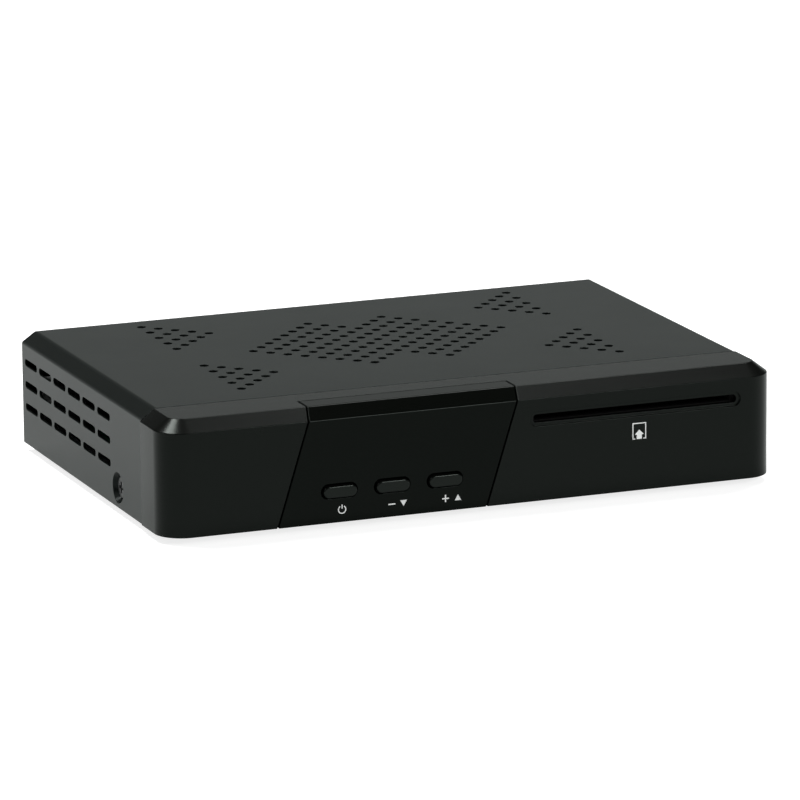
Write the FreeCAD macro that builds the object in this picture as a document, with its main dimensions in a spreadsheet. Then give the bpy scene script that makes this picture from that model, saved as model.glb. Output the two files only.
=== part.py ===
# Satellite television receiver: a small steel and plastic box with three push buttons,
# a smart card slot in front and its sockets behind.
# Millimetres. +X is right and +Y is back, seen from the front, and +Z is up. The origin is
# on the surface that the feet stand on, half way from the buttons' faces to the ends of the
# aerial sockets. Cells that end in from_front, from_rear, from_side or from_top are counted in
# from that face of the case, and cells that end in up from its underside or the board below.
import FreeCAD, Part
import Sketcher
import math
import os

SIZES = {
    # Case
    "case_width": 170.0,
    "case_depth": 114.0,
    "case_height": 30.2,
    "foot_height": 2.0,
    "foot_radius": 5.0,
    "foot_edge": 0.6,
    "foot_from_side": 17.0,
    "front_foot_from_front": 29.0,
    "rear_foot_from_rear": 13.0,
    # Plastic front
    "bezel_depth": 17.4,
    "bezel_wall": 2.4,
    "bezel_corner_radius": 7.6,
    "bezel_chamfer_run": 3.9,
    "bezel_chamfer_drop": 3.0,
    "rim_length": 5.0,
    "rim_gap": 0.1,
    "seam_gap": 0.15,
    # Gloss panel let into the front
    "panel_thickness": 1.4,
    "panel_gap": 0.4,
    "panel_strip_depth": 10.0,
    "panel_left_x": -49.3,
    "panel_right_x": 7.7,
    "panel_lean": 9.6,
    # Card slot
    "slot_from_side": 40.0,
    "slot_from_top": 8.4,
    "slot_length": 57.4,
    "slot_opening": 2.1,
    "slot_recess_length": 59.4,
    "slot_recess_opening": 3.9,
    "slot_recess_depth": 0.6,
    # Push buttons
    "button_pitch": 14.5,
    "first_button_x": -37.5,
    "button_height_up": 8.3,
    "button_length": 9.2,
    "button_opening": 3.2,
    "button_gap": 0.3,
    "button_proud": 1.0,
    "button_edge": 0.5,
    "button_flange_margin": 1.2,
    "button_flange_thickness": 0.8,
    "button_rest_gap": 0.05,
    "button_travel": 0.35,
    "switch_size": 6.0,
    "switch_depth": 3.5,
    "plunger_radius": 1.75,
    "plunger_proud": 1.0,
    "plunger_engaged": 1.6,
    "plunger_gap": 0.1,
    # Front circuit board
    "board_thickness": 1.6,
    "front_board_set_back": 10.2,
    "front_board_left_x": -50.0,
    "front_board_right_x": 7.0,
    "front_board_low": 2.8,
    "front_board_from_top": 3.6,
    "boss_radius": 2.3,
    "boss_left_x": -47.0,
    "boss_right_x": 4.0,
    "boss_low": 5.4,
    "boss_from_top": 6.4,
    "small_screw_radius": 0.9,
    "small_screw_head_radius": 1.9,
    "small_screw_head_height": 1.4,
    "small_screw_length": 6.0,
    "screw_clearance": 0.05,
    "display_x": -21.0,
    "display_from_top": 15.8,
    "display_width": 30.2,
    "display_height": 10.2,
    "display_depth": 7.2,
    "digit_width": 5.6,
    "digit_height": 8.0,
    "digit_recess": 0.3,
    "window_gap": 0.4,
    "receiver_x": -41.4,
    "lamp_x": 0.0,
    "sensor_from_top": 10.9,
    "receiver_width": 6.0,
    "receiver_height": 7.0,
    "receiver_depth": 3.6,
    "receiver_lens_radius": 2.2,
    "receiver_lens_depth": 1.8,
    "lamp_radius": 1.5,
    "lamp_rim_radius": 1.8,
    "lamp_rim_depth": 1.0,
    "lamp_depth": 5.0,
    # Steel cover
    "steel": 0.8,
    "cover_inset": 0.4,
    "cover_chamfer_run": 3.8,
    "cover_chamfer_drop": 2.6,
    "vent_pitch": 5.0,
    "vent_radius": 1.2,
    "vent_centre_share": 0.525,
    "side_slot_gap": 1.9,
    "side_slot_opening": 1.9,
    "side_slot_last_from_rear": 7.4,
    "side_slot_row_pitch": 6.05,
    "side_slot_first_from_front": 47.1,
    "side_slot_low": 10.5,
    "side_slots_in_row": 6,
    "side_slot_rows": 3,
    "dish_from_front": 36.6,
    "dish_height_up": 5.3,
    "dish_radius": 4.1,
    "dish_floor_radius": 3.2,
    "dish_depth": 1.6,
    "lip_over_socket": 1.0,
    "lip_from_side": 11.0,
    "rear_screw_from_side": 23.0,
    "case_screw_radius": 1.45,
    "case_screw_head_radius": 2.7,
    "case_screw_head_height": 1.5,
    "case_screw_length": 5.0,
    "recess_width": 0.8,
    "recess_depth": 0.7,
    "recess_length": 3.0,
    # Steel tray
    "tray_gap": 0.15,
    "flange_height": 9.0,
    "bezel_screw_from_side": 25.0,
    "bezel_screw_boss_radius": 2.3,
    "bezel_screw_boss_height": 5.0,
    # Main circuit board
    "main_board_side_gap": 1.7,
    "main_board_from_front": 29.0,
    "main_board_rear_gap": 0.4,
    "screw_notch_gap": 0.1,
    "screw_notch_width": 7.0,
    "standoff_height": 4.0,
    "standoff_radius": 2.75,
    "left_post_from_side": 10.0,
    "left_front_post_from_front": 33.0,
    "left_rear_post_from_rear": 27.0,
    "right_rear_post_from_rear": 20.0,
    # Smart card reader
    "reader_half_pitch": 32.5,
    "reader_front_post_from_front": 25.5,
    "reader_rear_post_from_front": 49.0,
    "reader_board_half_width": 36.0,
    "reader_board_margin": 4.5,
    "reader_half_width": 29.0,
    "reader_rear_from_front": 52.0,
    "reader_front_gap": 0.2,
    "reader_base_thickness": 2.5,
    "card_channel_width": 55.2,
    "card_channel_opening": 1.8,
    "reader_roof": 0.9,
    "card_contact_width": 0.9,
    "card_contact_length": 7.0,
    "card_contact_rise": 0.4,
    "card_contact_gap": 0.2,
    "card_contact_pitch": 2.54,
    "card_contact_rows_apart": 9.0,
    "card_contact_from_front": 33.0,
    "stacking_width": 20.3,
    "stacking_depth": 5.0,
    "stacking_from_front": 49.0,
    # Flat cable between the boards
    "cable_x": -20.0,
    "cable_width": 12.0,
    "cable_thickness": 0.3,
    "cable_bend_radius": 3.0,
    "cable_height_up": 19.0,
    "cable_from_front": 33.0,
    "header_width": 15.0,
    "header_height": 4.5,
    "header_depth": 5.5,
    "cable_seat_depth": 2.5,
    # Parts on the main board
    "processor_size": 23.0,
    "processor_height": 1.4,
    "processor_from_slot": 53.0,
    "processor_from_front": 59.0,
    "heatsink_size": 27.0,
    "heatsink_base": 2.0,
    "heatsink_fin": 1.2,
    "heatsink_fin_height": 7.0,
    "heatsink_fin_pitch": 4.3,
    "heatsink_fins": 7,
    "memory_width": 9.0,
    "memory_depth": 13.0,
    "memory_height": 1.1,
    "memory_from_processor": 22.0,
    "memory_from_front": 56.0,
    "memory_gap": 1.5,
    "flash_width": 12.0,
    "flash_depth": 18.4,
    "flash_height": 1.1,
    "flash_from_processor": 28.0,
    "flash_from_front": 51.0,
    "inductor_size": 7.0,
    "inductor_height": 4.0,
    "inductor_from_side": 19.0,
    "inductor_from_rear": 41.0,
    "inductor_pitch": 9.5,
    "capacitor_radius": 4.0,
    "capacitor_height": 11.5,
    "capacitor_from_side": 19.0,
    "capacitor_from_rear": 30.0,
    "capacitor_pitch": 10.5,
    "crystal_length": 11.0,
    "crystal_width": 4.6,
    "crystal_height": 3.6,
    "crystal_from_front": 81.0,
    # Tuner
    "row_end_gap": 1.0,
    "tuner_width": 34.0,
    "tuner_depth": 46.0,
    "tuner_height": 13.5,
    "tuner_wall": 0.5,
    "tuner_board_up": 1.8,
    "tuner_board_thickness": 1.0,
    "tuner_lid_skirt": 3.0,
    "aerial_pitch": 18.0,
    "aerial_up": 8.0,
    "aerial_thread_radius": 4.7625,
    "aerial_length": 11.0,
    "aerial_collar_radius": 5.6,
    "aerial_bore_radius": 3.4,
    "aerial_contact_radius": 0.5,
    # Picture, sound, data and power sockets
    "panel_cut_gap": 0.3,
    "socket_proud": 0.6,
    "digital_video_width": 15.0,
    "digital_video_height": 5.6,
    "digital_video_depth": 11.0,
    "digital_video_wall": 0.4,
    "digital_video_corner": 1.4,
    "digital_video_tongue_width": 11.4,
    "digital_video_tongue_thickness": 1.0,
    "analogue_video_width": 47.0,
    "analogue_video_height": 15.5,
    "analogue_video_depth": 18.0,
    "analogue_video_wall": 1.5,
    "analogue_video_corner": 6.0,
    "analogue_video_groove": 1.8,
    "analogue_video_groove_depth": 8.0,
    "analogue_video_pin_pitch": 3.81,
    "analogue_video_rows_apart": 4.4,
    "analogue_video_pin_width": 1.2,
    "analogue_video_pin_height": 2.4,
    "analogue_video_pin_length": 6.4,
    "data_width": 14.4,
    "data_height": 7.0,
    "data_depth": 14.0,
    "data_wall": 0.5,
    "data_tongue_width": 11.1,
    "data_tongue_thickness": 1.9,
    "audio_size": 10.0,
    "audio_depth": 9.0,
    "audio_up": 7.0,
    "audio_barrel_radius": 4.15,
    "audio_collar_radius": 5.0,
    "audio_barrel_bore": 3.3,
    "audio_barrel_length": 8.5,
    "audio_insulator_bore": 1.6,
    "jack_width": 6.4,
    "jack_height": 6.0,
    "jack_depth": 12.0,
    "jack_collar_radius": 2.9,
    "jack_bore_radius": 1.8,
    "power_width": 9.0,
    "power_height": 11.0,
    "power_depth": 13.5,
    "power_up": 6.5,
    "power_bore_radius": 3.1,
    "power_bore_depth": 9.5,
    "power_pin_radius": 1.0,
    "power_pin_length": 9.0,
}

doc = FreeCAD.newDocument("satellite_receiver")
sheet = doc.addObject("Spreadsheet::Sheet", "Sheet")
for row, (alias, amount) in enumerate(SIZES.items(), start=1):
    sheet.set(f"A{row}", alias.replace("_", " "))
    sheet.set(f"B{row}", str(amount))
    sheet.setAlias(f"B{row}", alias)
doc.recompute()


class Size:
    """A length as a formula over the sheet's cells, with the number that it gives now."""

    def __init__(self, text, number):
        self.text = text
        self.number = number

    def __add__(self, other):
        return Size(f"({self.text} + {text_of(other)})", self.number + number_of(other))

    def __radd__(self, other):
        return Size(f"({text_of(other)} + {self.text})", number_of(other) + self.number)

    def __sub__(self, other):
        return Size(f"({self.text} - {text_of(other)})", self.number - number_of(other))

    def __rsub__(self, other):
        return Size(f"({text_of(other)} - {self.text})", number_of(other) - self.number)

    def __mul__(self, other):
        return Size(f"({self.text} * {text_of(other)})", self.number * number_of(other))

    def __rmul__(self, other):
        return self * other

    def __truediv__(self, other):
        return Size(f"({self.text} / {text_of(other)})", self.number / number_of(other))

    def __neg__(self):
        return Size(f"(0 - {self.text})", -self.number)


class Cells:
    """The sheet's cells by name: s.case_width is that cell's Size."""

    def __getattr__(self, alias):
        return Size("Sheet." + alias, float(sheet.get(alias)))


s = Cells()
nodes = {}


def text_of(value):
    return value.text if isinstance(value, Size) else repr(float(value))


def number_of(value):
    return value.number if isinstance(value, Size) else float(value)


def root(value):
    return Size(f"sqrt({value.text})", math.sqrt(value.number))


def bind(thing, name, value):
    thing.setExpression(name, text_of(value))


def keep(label, thing):
    """Name a finished piece."""
    thing.Label = label
    nodes[label] = thing
    return thing


# Solids made from plain blocks and rods

def block(name, x, y, z, wide, deep, tall):
    """A box centred on x, with its front at y and its underside at z."""
    box = doc.addObject("Part::Box", name)
    bind(box, "Length", wide)
    bind(box, "Width", deep)
    bind(box, "Height", tall)
    bind(box, "Placement.Base.x", x - wide / 2)
    bind(box, "Placement.Base.y", y)
    bind(box, "Placement.Base.z", z)
    return box


TURNS = {
    "x": FreeCAD.Rotation(FreeCAD.Vector(0, 1, 0), 90),
    "y": FreeCAD.Rotation(FreeCAD.Vector(1, 0, 0), -90),
    "z": FreeCAD.Rotation(),
}


def rod(name, x, y, z, radius, length, along):
    """A cylinder that starts at x, y, z and runs the positive way along one axis."""
    bar = doc.addObject("Part::Cylinder", name)
    bar.Placement = FreeCAD.Placement(FreeCAD.Vector(0, 0, 0), TURNS[along])
    bind(bar, "Radius", radius)
    bind(bar, "Height", length)
    bind(bar, "Placement.Base.x", x)
    bind(bar, "Placement.Base.y", y)
    bind(bar, "Placement.Base.z", z)
    return bar


def ball(name, x, y, z, radius):
    round_end = doc.addObject("Part::Sphere", name)
    bind(round_end, "Radius", radius)
    bind(round_end, "Placement.Base.x", x)
    bind(round_end, "Placement.Base.y", y)
    bind(round_end, "Placement.Base.z", z)
    return round_end


def join(name, pieces):
    fused = doc.addObject("Part::MultiFuse", name)
    fused.Shapes = pieces
    return fused


def cut(name, blank, tools):
    """Take the tools away from the blank."""
    result = doc.addObject("Part::Cut", name)
    result.Base = blank
    result.Tool = tools[0] if len(tools) == 1 else join(name + "_tools", tools)
    return result


def group(name, pieces):
    """Like pieces that stay separate solids in one node."""
    compound = doc.addObject("Part::Compound", name)
    compound.Links = pieces
    return compound


# Bodies made from sketches

def new_body(name):
    return doc.addObject("PartDesign::Body", name)


def new_sketch(body, plane, centre, level):
    """A sketch on a front (XZ), plan (XY) or side (YZ) plane at a level along its axis."""
    role = {"front": "XZ_Plane", "plan": "XY_Plane", "side": "YZ_Plane"}[plane]
    support = [item for item in body.Origin.OriginFeatures if item.Role == role][0]
    sketch = body.newObject("Sketcher::SketchObject", body.Name + "_sketch")
    sketch.AttachmentSupport = [(support, "")]
    sketch.MapMode = "FlatFace"
    bind(sketch, "AttachmentOffset.Base.x", centre[0])
    bind(sketch, "AttachmentOffset.Base.y", centre[1])
    bind(sketch, "AttachmentOffset.Base.z", -level if plane == "front" else level)
    return sketch


def fix(sketch, kind, item, place_on_item, value):
    """Hold one point of a sketch at a distance from the sketch's own centre."""
    index = sketch.addConstraint(
        Sketcher.Constraint(kind, -1, 1, item, place_on_item, number_of(value)))
    bind(sketch, f"Constraints[{index}]", value)


def polygon(sketch, corners):
    """A closed outline of straight lines through corners held in place one by one."""
    first = sketch.GeometryCount
    count = len(corners)
    points = [FreeCAD.Vector(number_of(u), number_of(v), 0) for u, v in corners]
    for index in range(count):
        sketch.addGeometry(Part.LineSegment(points[index], points[(index + 1) % count]))
    for index in range(count):
        following = first + (index + 1) % count
        sketch.addConstraint(Sketcher.Constraint("Coincident", first + index, 2, following, 1))
    for index, (u, v) in enumerate(corners):
        fix(sketch, "DistanceX", first + index, 1, u)
        fix(sketch, "DistanceY", first + index, 1, v)


def rectangle(sketch, left, right, low, high):
    polygon(sketch, [(left, low), (right, low), (right, high), (left, high)])


def circle(sketch, u, v, radius):
    centre = FreeCAD.Vector(number_of(u), number_of(v), 0)
    ring = sketch.addGeometry(Part.Circle(centre, FreeCAD.Vector(0, 0, 1), number_of(radius)))
    fix(sketch, "DistanceX", ring, 3, u)
    fix(sketch, "DistanceY", ring, 3, v)
    index = sketch.addConstraint(Sketcher.Constraint("Radius", ring, number_of(radius)))
    bind(sketch, f"Constraints[{index}]", radius)


def stadium(sketch, u, v, length, opening):
    """A long hole with two half-round ends, centred on u, v."""
    radius = opening / 2
    reach = length / 2 - radius
    left, right = number_of(u - reach), number_of(u + reach)
    centre, half = number_of(v), number_of(radius)
    up = FreeCAD.Vector(0, 0, 1)
    quarter = math.pi / 2
    top_line = sketch.addGeometry(Part.LineSegment(
        FreeCAD.Vector(left, centre + half, 0), FreeCAD.Vector(right, centre + half, 0)))
    right_end = sketch.addGeometry(Part.ArcOfCircle(
        Part.Circle(FreeCAD.Vector(right, centre, 0), up, half), -quarter, quarter))
    low_line = sketch.addGeometry(Part.LineSegment(
        FreeCAD.Vector(right, centre - half, 0), FreeCAD.Vector(left, centre - half, 0)))
    left_end = sketch.addGeometry(Part.ArcOfCircle(
        Part.Circle(FreeCAD.Vector(left, centre, 0), up, half), quarter, 3 * quarter))
    sketch.addConstraint([
        Sketcher.Constraint("Tangent", top_line, 2, right_end, 2),
        Sketcher.Constraint("Tangent", right_end, 1, low_line, 1),
        Sketcher.Constraint("Tangent", low_line, 2, left_end, 2),
        Sketcher.Constraint("Tangent", left_end, 1, top_line, 1),
        Sketcher.Constraint("Equal", right_end, left_end),
    ])
    for end, place in ((right_end, u + reach), (left_end, u - reach)):
        fix(sketch, "DistanceX", end, 3, place)
        fix(sketch, "DistanceY", end, 3, v)
    index = sketch.addConstraint(Sketcher.Constraint("Radius", right_end, half))
    bind(sketch, f"Constraints[{index}]", radius)


def pad(body, sketch, length, reverse=False):
    """Add material: front sketches grow forwards unless reversed, plan up and side right."""
    feature = body.newObject("PartDesign::Pad", body.Name + "_pad")
    feature.Profile = sketch
    bind(feature, "Length", length)
    feature.Reversed = reverse
    doc.recompute()
    return feature


def pocket(body, sketch, length, reverse=False, both_ways=False):
    """Cut away: front sketches cut backwards unless reversed, plan down and side left."""
    before = body.Shape.Volume
    feature = body.newObject("PartDesign::Pocket", body.Name + "_pocket")
    feature.Profile = sketch
    if both_ways:
        feature.SideType = "Symmetric"
    bind(feature, "Length", length)
    feature.Reversed = reverse
    doc.recompute()
    if not body.Shape.Volume < before:
        raise RuntimeError(f"{feature.Name} cuts nothing")
    return feature


def edges_where(shape, wanted):
    """Names of the edges whose points all pass a test of x, y and z."""
    names = []
    for index, edge in enumerate(shape.Edges, start=1):
        points = edge.discretize(5)
        if all(wanted(point.x, point.y, point.z) for point in points):
            names.append(f"Edge{index}")
    return names


NEAR = 1e-4
OVERCUT = 1.0


def near(value, size):
    return abs(value - number_of(size)) < NEAR


# Levels and planes that many pieces share
middle = (s.button_proud - s.aerial_length) / 2
front = middle - s.case_depth / 2
rear = middle + s.case_depth / 2
floor = s.foot_height
top = s.foot_height + s.case_height
seam = front + s.bezel_depth
panel_back = front + s.bezel_wall
tray_top = floor + s.steel
board_low = tray_top + s.standoff_height
board_top = board_low + s.board_thickness
rear_wall_back = rear - s.steel
rear_wall_front = rear_wall_back - s.steel
main_board_rear = rear_wall_front - s.main_board_rear_gap
front_board_front = front + s.front_board_set_back
front_board_back = front_board_front + s.board_thickness
cover_half = s.case_width / 2 - s.cover_inset
tray_half = cover_half - s.steel - s.dish_depth
cover_front = seam + s.seam_gap
half_width = s.case_width / 2
main_board_half = tray_half - s.main_board_side_gap
slot_x = half_width - s.slot_from_side
slot_z = top - s.slot_from_top
dish_y = front + s.dish_from_front
lip_height = top - s.steel - s.lip_over_socket - board_top - s.analogue_video_height
rear_screw_x = half_width - s.rear_screw_from_side
rear_screw_z = top - s.steel - lip_height / 2
bezel_screw_x = half_width - s.bezel_screw_from_side
processor_x = slot_x - s.processor_from_slot


def socket_row():
    """Middle of each rear socket: the room that their widths leave is shared out evenly."""
    widths = {
        "power": s.power_width,
        "jack": s.jack_width,
        "data": s.data_width,
        "audio": s.audio_collar_radius * 2,
        "analogue_video": s.analogue_video_width,
        "digital_video": s.digital_video_width,
        "tuner": s.tuner_width + s.tuner_wall * 2 + s.screw_clearance * 2,
    }
    room = main_board_half * 2 - s.row_end_gap - sum(widths.values())
    gap = room / (len(widths) - 1)
    places = {}
    left = -main_board_half
    for name, width in widths.items():
        places[name] = left + width / 2
        left = left + width + gap
    return places


socket_x = socket_row()


def chamfered(half, high, run, drop, inset):
    """Side x, shoulder z, flat x and top z of a chamfered outline set in by a wall."""
    slope = root(run * run + drop * drop)
    shoulder = high - drop - inset * (slope - drop) / run
    flat = half - run - inset * (slope - run) / drop
    return half - inset, shoulder, flat, high - inset


def cover_line(inset):
    return chamfered(cover_half, top, s.cover_chamfer_run, s.cover_chamfer_drop, inset)


def roof_corners(line, low):
    """Corners of a chamfered outline from its left foot over the top to its right foot."""
    side, shoulder, flat, high = line
    return [(-side, low), (-side, shoulder), (-flat, high), (flat, high), (side, shoulder), (side, low)]


# Steel cover

def side_dish(body, side):
    """A dish pressed into one side of the cover, with a screw hole in its floor."""
    skin = cover_half
    sketch = new_sketch(body, "front", (0, floor + s.dish_height_up), dish_y)
    outline = [
        (skin, s.dish_radius),
        (skin - s.dish_depth, s.dish_floor_radius),
        (skin - s.dish_depth, s.case_screw_radius + s.screw_clearance),
        (skin - s.dish_depth - s.steel, s.case_screw_radius + s.screw_clearance),
        (skin - s.dish_depth - s.steel, s.dish_floor_radius),
        (skin - s.steel, s.dish_radius),
    ]
    polygon(sketch, [(along * side, radius) for along, radius in outline])
    turned = body.newObject("PartDesign::Revolution", body.Name + "_dish")
    turned.Profile = sketch
    turned.ReferenceAxis = (sketch, ["H_Axis"])
    turned.Angle = 360
    doc.recompute()


DIAMOND_ROWS = 7
DIAMOND_MIDDLE_COUNT = 3
TRIANGLE_ROWS = 5
OUTER_COLUMN_COUNT = 15


def vent_places():
    """Rows and columns of the top holes: two joined diamonds and four corner triangles."""
    places = set()
    last_column = DIAMOND_MIDDLE_COUNT + DIAMOND_ROWS
    for column in range(-last_column, last_column + 1):
        for line in range(-DIAMOND_ROWS, DIAMOND_ROWS + 1):
            off_middle = min(abs(column + DIAMOND_MIDDLE_COUNT), abs(column - DIAMOND_MIDDLE_COUNT))
            if off_middle + abs(line) <= DIAMOND_ROWS and (column + line) % 2 == 0:
                places.add((column, line))
    for side in (-1, 1):
        for end in (-1, 1):
            for step in range(TRIANGLE_ROWS):
                holes = TRIANGLE_ROWS - step
                for place in range(holes):
                    line = end * DIAMOND_ROWS + 2 * place - (holes - 1)
                    places.add((side * (OUTER_COLUMN_COUNT - step), line))
    return sorted(places)


def vent_punches():
    """The round punches that pierce the top: a square lattice turned by 45 degrees."""
    half_pitch = number_of(s.vent_pitch) / math.sqrt(2)
    radius = number_of(s.vent_radius)
    low = number_of(top - s.steel * 2)
    tall = number_of(s.steel * 3)
    centre_line = number_of(cover_front + (rear - cover_front) * s.vent_centre_share)
    rods = []
    for column, line in vent_places():
        foot = FreeCAD.Vector(column * half_pitch, centre_line + line * half_pitch, low)
        rods.append(Part.makeCylinder(radius, tall, foot))
    punches = doc.addObject("Part::Feature", "vent_punches")
    punches.Shape = Part.makeCompound(rods)
    punches.Placement = FreeCAD.Placement()
    return punches


def make_top_cover():
    body = new_body("top_cover_sheet")
    outer = cover_line(0)
    inner = cover_line(s.steel)
    wrap = new_sketch(body, "front", (0, 0), cover_front)
    polygon(wrap, roof_corners(outer, floor) + list(reversed(roof_corners(inner, floor))))
    pad(body, wrap, rear - cover_front, reverse=True)
    lip = new_sketch(body, "front", (0, 0), rear_wall_back)
    lip_half = half_width - s.lip_from_side
    rectangle(lip, -lip_half, lip_half, top - s.steel - lip_height, top - s.steel)
    pad(body, lip, s.steel, reverse=True)
    lip_holes = new_sketch(body, "front", (0, 0), rear_wall_back - s.steel)
    for side in (-1, 1):
        hole = s.case_screw_radius + s.screw_clearance
        circle(lip_holes, rear_screw_x * side, rear_screw_z, hole)
    pocket(body, lip_holes, s.steel * 3)
    slots = new_sketch(body, "side", (0, 0), 0)
    first_y = front + s.side_slot_first_from_front
    run = rear - s.side_slot_last_from_rear - first_y
    pitch = run / (s.side_slots_in_row - 1)
    stadium(slots, first_y, floor + s.side_slot_low, pitch - s.side_slot_gap, s.side_slot_opening)
    first_slot = pocket(body, slots, s.case_width * 2, both_ways=True)
    rows = body.newObject("PartDesign::LinearPattern", "side_slots")
    rows.Originals = [first_slot]
    rows.Direction = (slots, ["H_Axis"])
    rows.Direction2 = (slots, ["V_Axis"])
    bind(rows, "Occurrences", s.side_slots_in_row)
    bind(rows, "Occurrences2", s.side_slot_rows)
    bind(rows, "Length", run)
    bind(rows, "Length2", s.side_slot_row_pitch * (s.side_slot_rows - 1))
    body.Tip = rows
    doc.recompute()
    dish_holes = new_sketch(body, "side", (0, 0), 0)
    circle(dish_holes, dish_y, floor + s.dish_height_up, s.dish_radius)
    pocket(body, dish_holes, s.case_width * 2, both_ways=True)
    for side in (-1, 1):
        side_dish(body, side)
    keep("top_cover", cut("top_cover_pierced", body, [vent_punches()]))


# Steel tray with the rear wall

def socket_openings(sketch):
    """Openings of the rear wall, each a little larger than the socket that fills it."""
    gap = s.panel_cut_gap
    for side in (-1, 1):
        x = socket_x["tuner"] + s.aerial_pitch / 2 * side
        circle(sketch, x, board_top + s.aerial_up, s.aerial_collar_radius + gap)
    for x, wide, tall in (
            (socket_x["digital_video"], s.digital_video_width, s.digital_video_height),
            (socket_x["analogue_video"], s.analogue_video_width, s.analogue_video_height),
            (socket_x["data"], s.data_width, s.data_height)):
        half = wide / 2 + gap
        rectangle(sketch, x - half, x + half, board_top - gap, board_top + tall + gap)
    circle(sketch, socket_x["audio"], board_top + s.audio_up, s.audio_collar_radius + gap)
    circle(sketch, socket_x["jack"], board_top + s.jack_height / 2, s.jack_collar_radius + gap)
    x, half = socket_x["power"], s.power_width / 2 + gap
    rectangle(sketch, x - half, x + half, board_top - gap, board_top + s.power_height + gap)


def make_base_tray():
    body = new_body("base_tray")
    plate = new_sketch(body, "plan", (0, 0), floor)
    rectangle(plate, -tray_half, tray_half, cover_front, rear_wall_back)
    pad(body, plate, s.steel)
    wall = new_sketch(body, "front", (0, 0), rear_wall_front)
    polygon(wall, roof_corners(cover_line(s.steel + s.tray_gap), floor))
    pad(body, wall, s.steel, reverse=True)
    flange_front = seam + s.rim_length + s.panel_gap
    for side in (-1, 1):
        flange = new_sketch(body, "side", (0, 0), tray_half * side)
        rectangle(flange, flange_front, rear_wall_back, floor, floor + s.flange_height)
        pad(body, flange, s.steel, reverse=side > 0)
    openings = new_sketch(body, "front", (0, 0), rear_wall_front - s.steel)
    socket_openings(openings)
    pocket(body, openings, s.steel * 3)
    rear_holes = new_sketch(body, "front", (0, 0), rear_wall_front - s.steel)
    for side in (-1, 1):
        hole = s.case_screw_radius + s.screw_clearance
        circle(rear_holes, rear_screw_x * side, rear_screw_z, hole)
    pocket(body, rear_holes, s.steel * 3)
    flange_holes = new_sketch(body, "side", (0, 0), 0)
    circle(flange_holes, dish_y, floor + s.dish_height_up, s.case_screw_radius + s.screw_clearance)
    pocket(body, flange_holes, s.case_width * 2, both_ways=True)
    floor_holes = new_sketch(body, "plan", (0, 0), tray_top + s.steel)
    for side in (-1, 1):
        hole = s.small_screw_radius + s.screw_clearance
        circle(floor_holes, bezel_screw_x * side, seam + s.rim_length / 2, hole)
    pocket(body, floor_holes, s.steel * 3)
    keep("base_tray", body)


# Plastic front and its gloss panel

def panel_form(name, gap, overcut):
    """The L-shaped layer of the gloss panel, or with a gap and overcut the seat it lies in."""
    body = new_body(name)
    thick = s.panel_thickness
    run, drop = s.bezel_chamfer_run, s.bezel_chamfer_drop
    slope = root(run * run + drop * drop)
    inner_knee_z = top - drop - thick * (slope - drop) / run
    inner_knee_y = front + run + thick * (slope - run) / drop
    strip_rear = front + s.panel_strip_depth + gap
    inside = [
        (strip_rear, top - thick),
        (inner_knee_y, top - thick),
        (front + thick, inner_knee_z),
        (front + thick, floor - overcut),
    ]
    if overcut:
        outside = [(front - overcut, floor - overcut), (front - overcut, top + overcut),
                   (strip_rear, top + overcut)]
    else:
        outside = [(front, floor), (front, top - drop), (front + run, top), (strip_rear, top)]
    section = new_sketch(body, "side", (0, 0), s.panel_left_x - s.panel_lean)
    polygon(section, outside + inside)
    width = s.panel_right_x - s.panel_left_x + s.panel_lean * 2
    pad(body, section, width)
    past = s.panel_lean
    for edge_x, side in ((s.panel_left_x, -1), (s.panel_right_x, 1)):
        ends = new_sketch(body, "front", (0, 0), front - past)
        low_x = edge_x - s.panel_lean / 2 + gap * side
        high_x = edge_x + s.panel_lean / 2 + gap * side
        lean = s.panel_lean / s.case_height * past
        away = edge_x + s.panel_lean * 2 * side
        polygon(ends, [
            (low_x - lean, floor - past), (high_x + lean, top + past),
            (away, top + past), (away, floor - past)])
        pocket(body, ends, s.panel_strip_depth * 3)
    return body


BUTTON_NAMES = ("power", "channel_down", "channel_up")


def button_places():
    return [s.first_button_x + s.button_pitch * index for index in range(len(BUTTON_NAMES))]


def button_holes(sketch):
    for x in button_places():
        stadium(sketch, x, floor + s.button_height_up,
                s.button_length + s.button_gap * 2, s.button_opening + s.button_gap * 2)


def make_centre_panel():
    body = panel_form("centre_panel", 0, 0)
    holes = new_sketch(body, "front", (0, 0), front - s.panel_thickness)
    button_holes(holes)
    pocket(body, holes, s.panel_thickness * 3)
    keep("centre_panel", body)


def front_board_bosses():
    levels = (floor + s.boss_low, top - s.boss_from_top)
    return [(x, z) for x in (s.boss_left_x, s.boss_right_x) for z in levels]


def bezel_form(name, inset, low, high, rear_y):
    """A block with the front's rounded corners and chamfered top, set in from the outside."""
    body = new_body(name)
    half = s.case_width / 2 - inset
    run, drop = s.bezel_chamfer_run, s.bezel_chamfer_drop
    slope = root(run * run + drop * drop)
    share = 1 - inset * (run + drop - slope) / (run * drop)
    plan = new_sketch(body, "plan", (0, 0), low)
    rectangle(plan, -half, half, front + inset, rear_y)
    blank = pad(body, plan, high - low)
    rounding = body.newObject("PartDesign::Fillet", name + "_corners")
    rounding.Base = (blank, edges_where(
        blank.Shape, lambda x, y, z: near(abs(x), half) and near(y, front + inset)))
    bind(rounding, "Radius", s.bezel_corner_radius - inset)
    doc.recompute()
    chamfer = body.newObject("PartDesign::Chamfer", name + "_top_chamfer")
    chamfer.Base = (rounding, edges_where(
        rounding.Shape, lambda x, y, z: near(z, high) and not on_rear_edge(x, y, half, rear_y)))
    chamfer.ChamferType = "Two distances"
    bind(chamfer, "Size", drop * share)
    bind(chamfer, "Size2", run * share)
    doc.recompute()
    return body


def on_rear_edge(x, y, half, rear_y):
    return near(y, rear_y) and not near(abs(x), half)


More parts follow.
